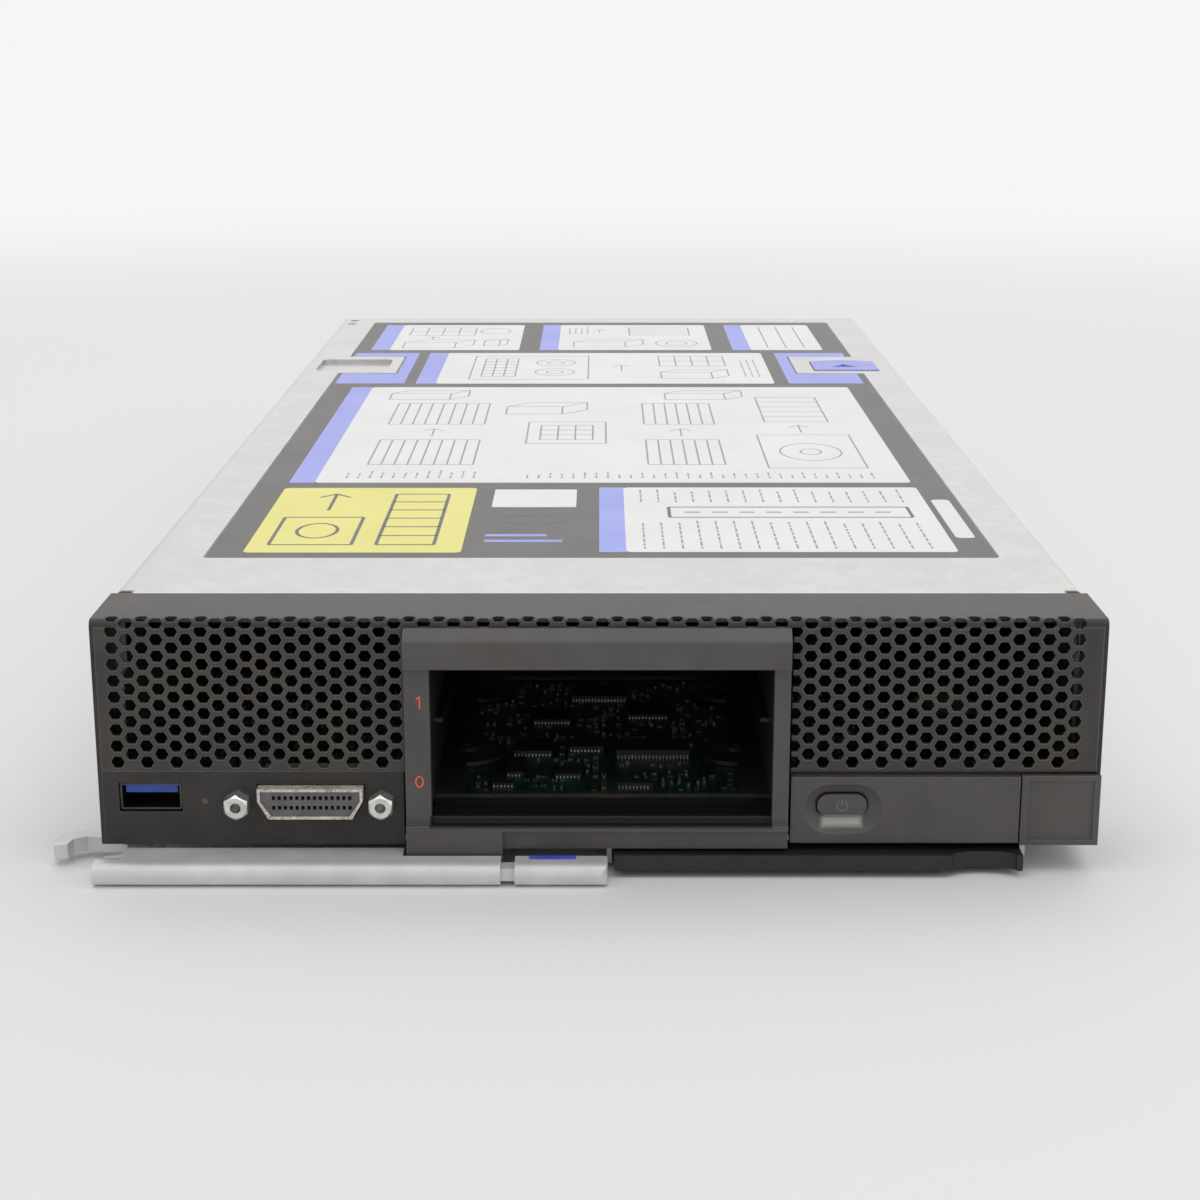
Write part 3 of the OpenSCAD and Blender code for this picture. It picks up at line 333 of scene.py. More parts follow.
def flat_tops(name, least):
    """Rows (x0, y0, x1, y1, z) for a node's rectangular top faces higher than least.

    Both triangles of a rectangle along the axes have the rectangle's own bounds, so each is kept once.
    """
    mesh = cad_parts[name].data
    mesh.calc_loop_triangles()
    corner = np.array([triangle.vertices for triangle in mesh.loop_triangles])
    place = np.array([vertex.co for vertex in mesh.vertices])[corner]
    level = (np.ptp(place[:, :, 2], axis=1) < 0.001 * MM) & (place[:, 0, 2] > least)
    rows = np.concatenate([place[level, :, :2].min(1), place[level, :, :2].max(1), place[level, :1, 2]], 1)
    return np.unique(rows.round(6), axis=0)


def gull_wings(tops, pitch, side):
    """Legs along one long edge of each chip: a strip that leaves the body level, drops and runs out flat.

    A leg's four rings stand inside the body, at its bend, at the foot's heel and at its toe, the first
    two at 0.45 of the chip's height. Side is 1 for the back edge and -1 for the front.
    """
    out = np.array([-0.05, 0.3, 0.45, 0.95]) * MM
    share_of_height = np.array([1.0, 1.0, 0.0, 0.0]) * 0.45
    half_width, half_thickness, solder = 0.16 * MM, 0.06 * MM, 0.08 * MM
    ring = np.array([[-side, -1], [-side, 1], [side, 1], [side, -1]]) * [half_width, half_thickness]
    stacks = []
    for x0, y0, x1, y1, top in tops:
        x = np.arange(x0 + 0.5 * MM, x1 - 0.45 * MM, pitch)
        level = board_top + share_of_height * (top - board_top) + solder
        leg = np.zeros((len(x), 4, 4, 3))
        leg[..., 0] = x[:, None, None] + ring[:, 0]
        leg[..., 1] = (y1 if side > 0 else y0) + side * out[:, None]
        leg[..., 2] = level[:, None] + ring[:, 1]
        stacks.append(leg)
    return skin(np.concatenate(stacks))


# Chip legs: tin-plated copper frame, stamped and bent in rows along both long edges of every chip. The
# reflowed tin is grey and half bright.
LEAST_CHIP = 0.6 * MM
LEG_PITCH = 0.8 * MM
reflowed_tin = finish(
    "reflowed_tin", ("#6c6f71", "#8b8e8f"), mottle_mm=1, roughness=(0.25, 0.45), grain_mm=0.3,
    depth_mm=0.02, Metallic=1.0)
chip_tops = flat_tops("board_chips", board_top + LEAST_CHIP)
add_piece("chip_legs", "chassis", "plated_steel", reflowed_tin,
          gull_wings(chip_tops, LEG_PITCH, 1), gull_wings(chip_tops, LEG_PITCH, -1))

# Places for the small parts: a grid, kept where two slow waves over the board agree, so that the parts
# stand in groups with bare runs of board between them. The waves are in radians per metre.
GRID_STEP, GRID_MARGIN, NUDGE = 1.9 * MM, 4 * MM, 0.25 * MM
WAVE_ACROSS, WAVE_ALONG, WAVE_BEND = 390, 460, 170
SHARE_IN_GROUP, SHARE_OUTSIDE, SHARE_TURNED = 0.5, 0.09, 0.4
CLEARANCE = 1.0 * MM
scatter = np.random.default_rng(41)
grid_x, grid_y = np.meshgrid(
    np.arange(board_low.x + GRID_MARGIN, board_high.x - GRID_MARGIN, GRID_STEP),
    np.arange(board_low.y + GRID_MARGIN, board_high.y - GRID_MARGIN, GRID_STEP))
centre = np.stack([grid_x.ravel(), grid_y.ravel()], 1)
bent = 2 * np.sin(centre[:, 1] * WAVE_BEND)
group = np.sin(centre[:, 0] * WAVE_ACROSS + bent) + np.sin(centre[:, 1] * WAVE_ALONG + 1.3)
centre += scatter.integers(-1, 2, centre.shape) * NUDGE
kept = scatter.random(len(centre)) < np.where(group > 0, SHARE_IN_GROUP, SHARE_OUTSIDE)
turned = scatter.random(len(centre)) < SHARE_TURNED

# Each part is 1.0 by 0.52 mm in plan. Half of them are capacitors, the rest thinner resistors.
HALF_LONG, HALF_WIDE = 0.5 * MM, 0.26 * MM
half = np.where(turned[:, None], [HALF_WIDE, HALF_LONG], [HALF_LONG, HALF_WIDE])
kept &= clear_of_parts(centre - half, centre + half, CLEARANCE)
centre, half, turned = centre[kept], half[kept], turned[kept]
capacitor = scatter.random(len(centre)) < 0.5
tall = np.where(capacitor, 0.5, 0.32)[:, None] * MM
low = np.concatenate([centre - half, np.full_like(tall, board_top)], 1)
high = np.concatenate([centre + half, board_top + tall], 1)

# Tinned ends stand a touch proud of each part's body, one block at each end.
END_PROUD, END_LENGTH = 0.03 * MM, 0.24 * MM
cap_low = low - [END_PROUD, END_PROUD, 0]
cap_high = high + END_PROUD
lengthways = turned.astype(int)
rows = np.arange(len(low))
first_high, second_low = cap_high.copy(), cap_low.copy()
first_high[rows, lengthways] = cap_low[rows, lengthways] + END_LENGTH
second_low[rows, lengthways] = cap_high[rows, lengthways] - END_LENGTH

# Ceramic capacitors: unglazed brown titanate, matt. Thick-film resistors: black glass over alumina.
fired_ceramic = finish(
    "fired_ceramic", ("#4d4338", "#66594a"), mottle_mm=3, roughness=(0.5, 0.7), grain_mm=0.2, depth_mm=0.01)
resistor_glaze = finish(
    "resistor_glaze", ("#151618", "#202124"), mottle_mm=3, roughness=(0.25, 0.4), grain_mm=0.3,
    depth_mm=0.005)
add_piece("ceramic_capacitors", "chassis", "black_plastic", fired_ceramic,
          skin(blocks(low[capacitor], high[capacitor])))
add_piece("film_resistors", "chassis", "black_plastic", resistor_glaze,
          skin(blocks(low[~capacitor], high[~capacitor])))
add_piece("tinned_terminals", "chassis", "plated_steel", reflowed_tin,
          skin(blocks(cap_low, first_high)), skin(blocks(second_low, cap_high)))

# ---------------------------------------------------------------- processors, memory and power parts
# Two processors sit under finned coolers held by sprung screws, with memory modules in black sockets and
# ferrite chokes and polymer capacitors beside them, all soldered or plugged to the board.

# Nickel-plated copper lids and cell cans: smooth, faintly warm.
nickel_plate = finish(
    "nickel_plate", ("#bdbab0", "#cfccc2"), mottle_mm=4, roughness=(0.18, 0.32), grain_mm=0.25,
    depth_mm=0.006, Metallic=1.0)
dress(nickel_plate, "processors", "coin_cell")

# Skived and stamped aluminium fins: pale and slightly drawn.
drawn_aluminium = finish(
    "drawn_aluminium", ("#b8babc", "#c9cbcc"), mottle_mm=8, roughness=(0.28, 0.42), grain_mm=0.3,
    depth_mm=0.01, along=(1, 8, 1), Metallic=1.0)
dress(drawn_aluminium, "heatsinks")

# Polymer capacitors: lacquered aluminium cans, dull.
lacquered_can = finish(
    "lacquered_can", ("#55575a", "#66686b"), mottle_mm=4, roughness=(0.4, 0.55), grain_mm=0.3,
    depth_mm=0.01, round_mm=0.3, Metallic=0.8)
dress(lacquered_can, "capacitors")

# Sintered ferrite and moulded composite: matt grey.
sintered_ferrite = finish(
    "sintered_ferrite", ("#4d4d50", "#5e5e62"), mottle_mm=3, roughness=(0.55, 0.75), grain_mm=0.3,
    depth_mm=0.03)
dress(sintered_ferrite, "power_chokes")

# Glass-filled black polyamide and mould compound: matt with a fine flow grain.
black_moulding = finish(
    "black_moulding", ("#161617", "#202021"), mottle_mm=5, roughness=(0.42, 0.6), grain_mm=0.25,
    depth_mm=0.012, round_mm=0.1, edge_wear_and_glint="#38383a")
dress(black_moulding, "processor_sockets", "memory_sockets", "board_chips", "mezzanine_connectors",
      "battery_holder", "backplane_connectors", "push_pins")

# Memory modules are the same laminate as the main board.
dress(solder_masked_laminate, "memory_modules")

# Black-anodised chipset cooler: soft satin.
black_anodised_aluminium = finish(
    "black_anodised_aluminium", ("#232427", "#303236"), mottle_mm=6, roughness=(0.35, 0.5), grain_mm=0.3,
    depth_mm=0.012, along=(1, 1, 6), edge_wear_and_glint="#5a5c60", Metallic=0.6)
dress(black_anodised_aluminium, "chipset_heatsink")

# Two yellow polyester strips insulate the board by the rear connectors: one stands on edge, and one lies
# flat over a low socket.
yellow_film = finish(
    "yellow_film", ("#a88a26", "#c2a233"), mottle_mm=4, roughness=(0.35, 0.5), grain_mm=0.3, depth_mm=0.006)
board_top_mm = board_top / MM
strips_low = np.array([[69.5, 213.6, board_top_mm], [-13.5, 217.6, board_top_mm + 1.62]]) * MM
strips_high = np.array([[95.5, 214.2, 10.2], [1.5, 218.6, board_top_mm + 1.75]]) * MM
add_piece("insulating_strips", "chassis", "bezel_plastic", yellow_film,
          skin(blocks(strips_low, strips_high)))

# A bare ball-grid footprint at the board's rear edge: rows of tinned pads. In mm.
FOOTPRINT_LOW, FOOTPRINT_HIGH, PAD_PITCH = (-51, 199), (-27, 229), 1.1
PAD_HALF, PAD_TALL = 0.22, 0.05
pad_x, pad_y = np.meshgrid(np.arange(FOOTPRINT_LOW[0], FOOTPRINT_HIGH[0], PAD_PITCH),
                           np.arange(FOOTPRINT_LOW[1], FOOTPRINT_HIGH[1], PAD_PITCH))
pad = np.stack([pad_x.ravel(), pad_y.ravel()], 1) * MM
pad = pad[clear_of_parts(pad - 0.3 * MM, pad + 0.3 * MM, 0.2 * MM)]
pad_low = np.column_stack([pad - PAD_HALF * MM, np.full(len(pad), board_top)])
pad_size = np.array([2 * PAD_HALF, 2 * PAD_HALF, PAD_TALL]) * MM
add_piece("bare_footprint_pads", "chassis", "plated_steel", reflowed_tin,
          skin(blocks(pad_low, pad_low + pad_size)))

# ---------------------------------------------------------------- rear connectors and latches
# Docking connectors in grey liquid-crystal polymer, a ribbed alignment post and a steel guide tube are
# fixed to the board. Two periwinkle latches turn on grey posts, and the cover's button is moulded alike.

# Mineral-filled grey polymer: satin, a little paler along its thin edges.
grey_connector_moulding = finish(
    "grey_connector_moulding", ("#5a5a5e", "#68686c"), mottle_mm=6, roughness=(0.4, 0.56), grain_mm=0.3,
    depth_mm=0.015, round_mm=0.12, edge_wear_and_glint="#8c8c90")
dress(grey_connector_moulding, "signal_connector", "ribbed_post", "latch_posts")

# The power connector is the same polymer in a warmer grey.
warm_grey_moulding = finish(
    "warm_grey_moulding", ("#6e6966", "#7f7a76"), mottle_mm=6, roughness=(0.4, 0.56), grain_mm=0.3,
    depth_mm=0.015, round_mm=0.12, edge_wear_and_glint="#a09a95")
dress(warm_grey_moulding, "power_connector")

# Hard gold over nickel on the power blades: warm and bright.
gold_plate = finish(
    "gold_plate", ("#d08c34", "#e8a748"), mottle_mm=2, roughness=(0.2, 0.34), grain_mm=0.2,
    depth_mm=0.005, Metallic=1.0)
dress(gold_plate, "power_contacts")


def inside(tree, low, high, soft_mm=0.15):
    """1 within a box in object space, fading to 0 over soft_mm outside it: low and high in mm.

    The fade runs on the greatest, over the three axes, of the distance from the box's middle less half
    its size.
    """
    middle = [(near + far) / 2 * MM for near, far in zip(low, high)]
    half_size = [(far - near) / 2 * MM for near, far in zip(low, high)]
    place = add_node(tree, "TexCoord").outputs["Object"]
    off = add_node(tree, "VectorMath", {0: place, 1: middle}, operation="SUBTRACT").outputs[0]
    span = add_node(tree, "VectorMath", {0: off}, operation="ABSOLUTE").outputs[0]
    over = add_node(tree, "VectorMath", {0: span, 1: half_size}, operation="SUBTRACT").outputs[0]
    axes = add_node(tree, "SeparateXYZ", {0: over}).outputs
    first = add_node(tree, "Math", {0: axes[0], 1: axes[1]}, operation="MAXIMUM").outputs[0]
    most = add_node(tree, "Math", {0: first, 1: axes[2]}, operation="MAXIMUM").outputs[0]
    return add_node(tree, "MapRange", {"Value": most, "From Min": soft_mm * MM, "From Max": 0.0}).outputs[0]


# Blackened steel tube and slider. The slider's catch is drawn pale.
blackened_steel = finish(
    "blackened_steel", ("#5c5750", "#6f6a62"), mottle_mm=4, roughness=(0.35, 0.5), grain_mm=0.3,
    depth_mm=0.012, Metallic=0.8)
catch_low, catch_high = (-99.3, 225, 4.4), (-95.9, 234, 7.7)
layer(blackened_steel, inside(blackened_steel.node_tree, catch_low, catch_high), "#c9c6c2")
dress(blackened_steel, "guide_tube", "interlock_slider")

# Periwinkle ABS, the colour of every touch point: satin from a polished tool.
periwinkle_moulding = finish(
    "periwinkle_moulding", ("#9092e6", "#9c9ef0"), mottle_mm=10, roughness=(0.32, 0.44), grain_mm=0.5,
    depth_mm=0.008, round_mm=0.25, edge_wear_and_glint="#b6b7f8")
dress(periwinkle_moulding, "latch_left", "latch_right", "cover_button")

# A bare identity label on the casting's rear face: dark polyester film with one cropped corner.
LABEL_THICKNESS = 0.06 * MM
rear_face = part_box("rear_casting")[1].y
dark_polyester = finish(
    "dark_polyester", ("#2c2b2b", "#343333"), mottle_mm=8, roughness=(0.35, 0.45), grain_mm=0.4,
    depth_mm=0.004, round_mm=0.05)
label_corners = np.array([[68.1, 0.9], [37.5, 0.9], [37.5, 7.8], [65.3, 7.8], [68.1, 5.4]]) * MM
label_rings = np.stack([np.insert(label_corners, 1, rear_face + lift, axis=1)
                        for lift in (0, LABEL_THICKNESS)])
add_piece("rear_bare_label", "chassis", "label_film", dark_polyester, skin(label_rings[None]))

# ---------------------------------------------------------------- bezel
# The bezel's band, fascias and grilles are perforated sheet steel under charcoal powder coat, screwed
# round a moulded frame. Fans have drawn brown dust in round every vent.

# Powder coat: a fine orange peel of about 0.3 mm, low in gloss, grey where corners are rubbed.
charcoal_powder_coat = finish(
    "charcoal_powder_coat", ("#302e2d", "#373534"), mottle_mm=11, roughness=(0.36, 0.5), grain_mm=0.28,
    depth_mm=0.015, round_mm=0.25, edge_wear_and_glint="#6f6c69", Specular_IOR_Level=0.3)


def dust(material, size_mm, shade, most):
    """Dust in drifts: a noise of size_mm times one of 0.5 mm specks, kept where both are high.

    The product's range from 0.2 to 0.4 runs from bare to the greatest share, most.
    """
    tree = material.node_tree
    place = object_place(material)
    drift = add_node(tree, "TexNoise", {"Vector": place, "Scale": 1 / (size_mm * MM), "Detail": 5.0,
                                        "Roughness": 0.65})
    speck = add_node(tree, "TexNoise", {"Vector": place, "Scale": 1 / (0.5 * MM), "Detail": 2.0})
    both = add_node(tree, "Math", {0: drift.outputs["Fac"], 1: speck.outputs["Fac"]}, operation="MULTIPLY")
    share = add_node(tree, "MapRange", {"Value": both.outputs[0], "From Min": 0.2, "From Max": 0.4,
                                        "To Max": most})
    layer(material, share.outputs[0], shade)


dust(charcoal_powder_coat, 16, "#6a5c4e", 0.12)
dress(charcoal_powder_coat, "bezel_band", "fascia_left", "fascia_right")

# The same coat on the punched grilles. The rims of the holes are drawn pale, a painted highlight for the
# light that their cut edges catch, and fans have drawn dust there.
grille_coat_painted_rims = finish(
    "grille_coat_painted_rims", ("#302e2d", "#383634"), mottle_mm=9, roughness=(0.34, 0.48), grain_mm=0.28,
    depth_mm=0.015, round_mm=0.4, edge_wear_and_glint="#9b9690")
dust(grille_coat_painted_rims, 22, "#6f5a48", 0.2)
dress(grille_coat_painted_rims, "grilles")

# Charcoal ABS with a spark-eroded texture. The sill in the drive bay's mouth is painted black, a painted
# shade for the dark inside the bay. In mm.
charcoal_moulding = finish(
    "charcoal_moulding", ("#4a4745", "#514e4c"), mottle_mm=12, roughness=(0.36, 0.5), grain_mm=0.5,
    depth_mm=0.04, round_mm=0.3, edge_wear_and_glint="#85807b")
dust(charcoal_moulding, 14, "#6b5f53", 0.1)
bay_shade_low, bay_shade_high = (-36.3, -245.0, 5.0), (37.1, -229.0, 7.2)
layer(charcoal_moulding, inside(charcoal_moulding.node_tree, bay_shade_low, bay_shade_high), "#101010")

# The dish round the power button catches the light along its lower lip. A pale shade in the material
# stands in for that highlight; it isn't known to be wear.
LIP_HALF_WIDE, LIP_DROPS, LIP_SOFT = 3.6, (4.2, 3.1), 1.2
key_low, key_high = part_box("power_button")
key_x, key_z = ((a + b) / 2 / MM for a, b in ((key_low.x, key_high.x), (key_low.z, key_high.z)))
lip_low = (key_x - LIP_HALF_WIDE, -245, key_z - LIP_DROPS[0])
lip_high = (key_x + LIP_HALF_WIDE, -235, key_z - LIP_DROPS[1])
layer(charcoal_moulding, inside(charcoal_moulding.node_tree, lip_low, lip_high, LIP_SOFT), "#b5b2ae")
dress(charcoal_moulding, "bay_frame", "operator_panel", "label_plate", "power_button")

# Smoked polycarbonate light pipe, dark while its lamp is out.
smoked_light_pipe = finish(
    "smoked_light_pipe", ("#6a5c4c", "#7a6b5a"), mottle_mm=2, roughness=(0.15, 0.3), grain_mm=0.3,
    depth_mm=0.005, Transmission_Weight=0.3, IOR=1.58)
dress(smoked_light_pipe, "status_led")


def plan_to_front(outline, y):
    """An outline in x and z, set upright at y: its rings face the front."""
    outline = np.asarray(outline, float)
    return np.stack([outline[:, 0], np.full(len(outline), y), outline[:, 1]], 1)


def front_print(outline, y, thickness):
    """A flat of ink on a front face: the outline, anticlockwise from the front, carried forward from y."""
    return skin(np.stack([plan_to_front(outline, y), plan_to_front(outline, y - thickness)])[None])


def arc(radius_x, radius_z, start, end, count):
    """Points (radius_x cos a, radius_z sin a) for a from start to end, in degrees."""
    angle = np.radians(np.linspace(start, end, count))
    return np.stack([radius_x * np.cos(angle), radius_z * np.sin(angle)], 1)


def band(outer, inner, y, thickness):
    """A closed band between two outlines with like points, as a rectangle carried round them."""
    front = y - thickness
    corners = np.stack([plan_to_front(outer, y), plan_to_front(inner, y),
                        plan_to_front(inner, front), plan_to_front(outer, front)], 1)
    at = np.arange(len(outer) * 4).reshape(-1, 4)
    beside, above = np.roll(at, -1, 0), np.roll(at, -1, 1)
    quads = np.stack([at, above, np.roll(above, -1, 0), beside], -1).reshape(-1, 4)
    return corners.reshape(-1, 3), quads.tolist()


# Bay numbers 1 and 0, tampo-printed in satin orange ink on the left upright of the drive frame. In mm.
TAMPO_INK = 0.05 * MM
ONE_PLACE, ZERO_PLACE = (-38.2, 32.9), (-38.4, 15.1)
strip_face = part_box("bay_frame")[0].y + 1.2 * MM
orange_ink = finish(
    "orange_ink", ("#e8603a", "#f26a42"), mottle_mm=4, roughness=(0.45, 0.6), grain_mm=0.3, depth_mm=0.004)
one = np.array([[-0.02, -1.38], [0.34, -1.38], [0.34, 1.38], [0.06, 1.38], [-0.62, 0.86], [-0.62, 0.5],
                [-0.02, 0.86]])
add_piece("bay_number_one", "chassis", "bezel_plastic", orange_ink,
          front_print((one + ONE_PLACE) * MM, strip_face, TAMPO_INK))
zero_outer = (arc(0.95, 1.38, 0, 350, 36) + ZERO_PLACE) * MM
zero_inner = (arc(0.6, 1.03, 0, 350, 36) + ZERO_PLACE) * MM
add_piece("bay_number_zero", "chassis", "bezel_plastic", orange_ink,
          band(zero_outer, zero_inner, strip_face, TAMPO_INK))

# The power symbol on the button: an open ring, 64 degrees open at its top, and a bar, in dim grey ink.
SYMBOL_INK = 0.04 * MM
RING_OUTER, RING_INNER, RING_START, RING_END = 1.3, 1.02, 122, 418
key_middle = np.array([key_x, key_z]) * MM
grey_ink = finish(
    "grey_ink", ("#6f6c68", "#7b7874"), mottle_mm=4, roughness=(0.45, 0.6), grain_mm=0.3, depth_mm=0.004)
ring = np.concatenate([arc(RING_OUTER, RING_OUTER, RING_START, RING_END, 40),
                       arc(RING_INNER, RING_INNER, RING_END, RING_START, 40)]) * MM
bar = np.array([[-0.15, 0.1], [0.15, 0.1], [0.15, 1.6], [-0.15, 1.6]]) * MM
add_piece("power_symbol", "power_key", "bezel_plastic", grey_ink,
          front_print(ring + key_middle, key_low.y, SYMBOL_INK),
          front_print(bar + key_middle, key_low.y, SYMBOL_INK))

# ---------------------------------------------------------------- front ports
# A USB receptacle with a blue tongue, and a 28-way console port in a drawn shell between two jack posts,
# are soldered to the board and show through the left fascia.

# The USB shell is stamped steel under nickel that has dulled to dark grey.
stamped_nickel_shell = finish(
    "stamped_nickel_shell", ("#4a4845", "#5a5853"), mottle_mm=5, roughness=(0.3, 0.45), grain_mm=0.3,
    depth_mm=0.008, round_mm=0.1, Metallic=1.0)
dress(stamped_nickel_shell, "usb_shell")

# The console shell's nickel is scuffed pale and half matt where plugs have rubbed it, with grime between.
scuffed_nickel_shell = finish(
    "scuffed_nickel_shell", ("#d6cfc0", "#e8e2d4"), mottle_mm=4, roughness=(0.34, 0.5), grain_mm=0.25,
    depth_mm=0.012, round_mm=0.2, edge_wear_and_glint="#f6f1e6", Metallic=0.3)
dust(scuffed_nickel_shell, 3, "#5a4a38", 0.75)
dress(scuffed_nickel_shell, "kvm_shell")

# The jack posts are turned steel, plated bright.
bright_turned_steel = finish(
    "bright_turned_steel", ("#c9cac6", "#e0e1dd"), mottle_mm=2, roughness=(0.18, 0.3), grain_mm=0.2,
    depth_mm=0.01, round_mm=0.1, edge_wear_and_glint="#f4f4f2", Metallic=0.8)
dress(bright_turned_steel, "kvm_standoffs")

# The tongue is blue polyester from a smooth tool: a clean satin.
blue_tongue_moulding = finish(
    "blue_tongue_moulding", ("#2a4aa6", "#3355b8"), mottle_mm=4, roughness=(0.3, 0.42), grain_mm=0.3,
    depth_mm=0.006)
dress(blue_tongue_moulding, "usb_tongue")

# The console port's insert is glass-filled grey polyester, rather matt.
port_insert_moulding = finish(
    "port_insert_moulding", ("#5b5b5f", "#68686c"), mottle_mm=4, roughness=(0.42, 0.56), grain_mm=0.3,
    depth_mm=0.012)
dress(port_insert_moulding, "kvm_insert")

# ---------------------------------------------------------------- drive bay
# The cage for two drives is thin folded steel with a black electrophoretic coat, satin and dusty inside,
# screwed behind the bezel's frame.

black_e_coat = finish(
    "black_e_coat", ("#191919", "#242423"), mottle_mm=9, roughness=(0.34, 0.5), grain_mm=0.4,
    depth_mm=0.012, round_mm=0.12, edge_wear_and_glint="#4b4a48")
dust(black_e_coat, 12, "#5d5448", 0.3)

# The cage's front edge is drawn grey for 0.7 mm. Elsewhere the mask stands 1 mm off the cage.
EDGE_DEPTH, EDGE_MARGIN = 0.7, 1
cage_low, cage_high = (np.array(corner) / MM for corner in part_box("drive_cage"))
edge_high = (cage_high[0] + EDGE_MARGIN, cage_low[1] + EDGE_DEPTH, cage_high[2] + EDGE_MARGIN)
layer(black_e_coat, inside(black_e_coat.node_tree, cage_low - EDGE_MARGIN, edge_high), "#8c8984")
dress(black_e_coat, "drive_cage", "cage_screws")

# ---------------------------------------------------------------- release handle and tab
# The release handle is a die-cast aluminium bar under a silver metallic coat, hung on a pin. Its sliding
# end carries a bright-blue touch strip. The tab is a black polycarbonate plate with no label.

# Silver coat: fine aluminium flake in clear lacquer, so only a little metallic.
silver_coat = finish(
    "silver_coat", ("#d2d1d0", "#dddcdb"), mottle_mm=7, roughness=(0.32, 0.44), grain_mm=0.25,
    depth_mm=0.014, round_mm=0.3, edge_wear_and_glint="#f4f3f2", Metallic=0.2)
dress(silver_coat, "release_handle", "handle_latch")

# Black polycarbonate: satin, with handling wear along its edges.
black_polycarbonate = finish(
    "black_polycarbonate", ("#1b1b1b", "#242424"), mottle_mm=9, roughness=(0.4, 0.55), grain_mm=0.3,
    depth_mm=0.015, round_mm=0.2, edge_wear_and_glint="#474747")
dress(black_polycarbonate, "info_tab")

# The touch strip is bright-blue ABS, pressed into the top of the handle's end.
touch_blue_moulding = finish(
    "touch_blue_moulding", ("#4f52e0", "#6064ee"), mottle_mm=5, roughness=(0.3, 0.42), grain_mm=0.3,
    depth_mm=0.006, round_mm=0.2)
end_low, end_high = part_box("handle_latch")
handle_front = end_low.y
touch_low = [-14.9 * MM, handle_front + 4.4 * MM, end_high.z - 1.7 * MM]
touch_high = [-5.1 * MM, handle_front + 6.1 * MM, end_high.z + 0.1 * MM]
add_piece("handle_touch_strip", "handle_end", "blue_plastic", touch_blue_moulding,
          skin(blocks(touch_low, touch_high)))

# ---------------------------------------------------------------- cover and its label
# The cover is galvanised sheet steel, drawn round at its sides, with two riveted ears at its rear. A
# printed polyester label fills the sunk field on top; its diagrams are plain shapes with no lettering.

# The cover's zinc is drawn less metallic than the pan's, so that it doesn't clip to white from above.
cover_sheet_steel = finish(
    "cover_sheet_steel", ("#c6c5c3", "#cccbc9"), mottle_mm=18, roughness=(0.34, 0.46), grain_mm=0.35,
    depth_mm=0.01, along=(1, 6, 1), round_mm=0.25, edge_wear_and_glint="#dddcda", Metallic=0.8)
spangle(cover_sheet_steel, 3.6, "#bcbbba")

# The rivet heads of the two rear ears are whitish nylon. This mask and the next are in mm.
HEAD_X, HEAD_HALF_WIDE, HEAD_SOFT = 100.5, 2.2, 0.04
HEAD_FACE, HEAD_BOTTOM, HEAD_TOP = 241.05, 37, 41.6
cover_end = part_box("top_cover")[1].y / MM
for x in (-HEAD_X, HEAD_X):
    head_low = (x - HEAD_HALF_WIDE, HEAD_FACE, HEAD_BOTTOM)
    head_high = (x + HEAD_HALF_WIDE, cover_end + 1, HEAD_TOP)
    head = inside(cover_sheet_steel.node_tree, head_low, head_high, HEAD_SOFT)
    layer(cover_sheet_steel, head, "#e9e7e2")

# Brown scorch marks where the front fold's two corners were welded.
SCORCH_X, SCORCH_Y, SCORCH_Z = (103.8, 108), (-218.5, -215.5), (47.5, 60)
SCORCH_SOFT = 0.8
for side in (-1, 1):
    near_x, far_x = sorted(side * x for x in SCORCH_X)
    scorch = inside(cover_sheet_steel.node_tree, (near_x, SCORCH_Y[0], SCORCH_Z[0]),
                    (far_x, SCORCH_Y[1], SCORCH_Z[1]), SCORCH_SOFT)
    layer(cover_sheet_steel, scorch, "#5b4027")
dress(cover_sheet_steel, "top_cover")

# The label's ground is warm grey ink under a matt laminate.
label_ground = finish(
    "label_ground", ("#575450", "#5f5c58"), mottle_mm=20, roughness=(0.42, 0.55), grain_mm=0.5,
    depth_mm=0.006, round_mm=0.05)
dress(label_ground, "cover_label")

label_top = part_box("cover_label")[1].z
front_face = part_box("fascia_left")[0].y


def flat_ink(plan, thickness):
    """A coat on the label: outlines in plan, in mm with y from the front face, raised to a thickness."""
    return skin(prisms(plan * MM + [0, front_face], label_top, label_top + thickness))


def label_print(rectangles, thickness, radius=1.5):
    """Flat blocks of ink (x0, y0, x1, y1): quarter turns of the radius, of five points, at each corner."""
    turn = np.radians(np.linspace(0, 90, 5)[None] + np.array([[180], [270], [0], [90]]))
    bend = np.stack([np.cos(turn), np.sin(turn)], -1) * radius
    inner = np.array(rectangles, float) + np.array([1, 1, -1, -1]) * radius
    corners = inner[:, [0, 1, 2, 1, 2, 3, 0, 3]].reshape(-1, 4, 1, 2)
    return flat_ink((corners + bend).reshape(len(inner), 20, 2), thickness)


def strokes(paths, width_mm, thickness):
    """Lines of ink (x0, y0, x1, y1), each drawn as a bar of one width, square at its ends."""
    line = np.array(paths, float)
    start, end = line[:, :2], line[:, 2:]
    run = (end - start) / np.linalg.norm(end - start, axis=1, keepdims=True)
    out = np.column_stack([-run[:, 1], run[:, 0]]) * width_mm / 2
    return flat_ink(np.stack([start - out, end - out, end + out, start + out], 1), thickness)


def grid_lines(x0, y0, x1, y1, across, along):
    """Strokes of a table: across columns and along rows between two corners, with its frame."""
    return ([[x, y0, x, y1] for x in np.linspace(x0, x1, across + 1)]
            + [[x0, y, x1, y] for y in np.linspace(y0, y1, along + 1)])


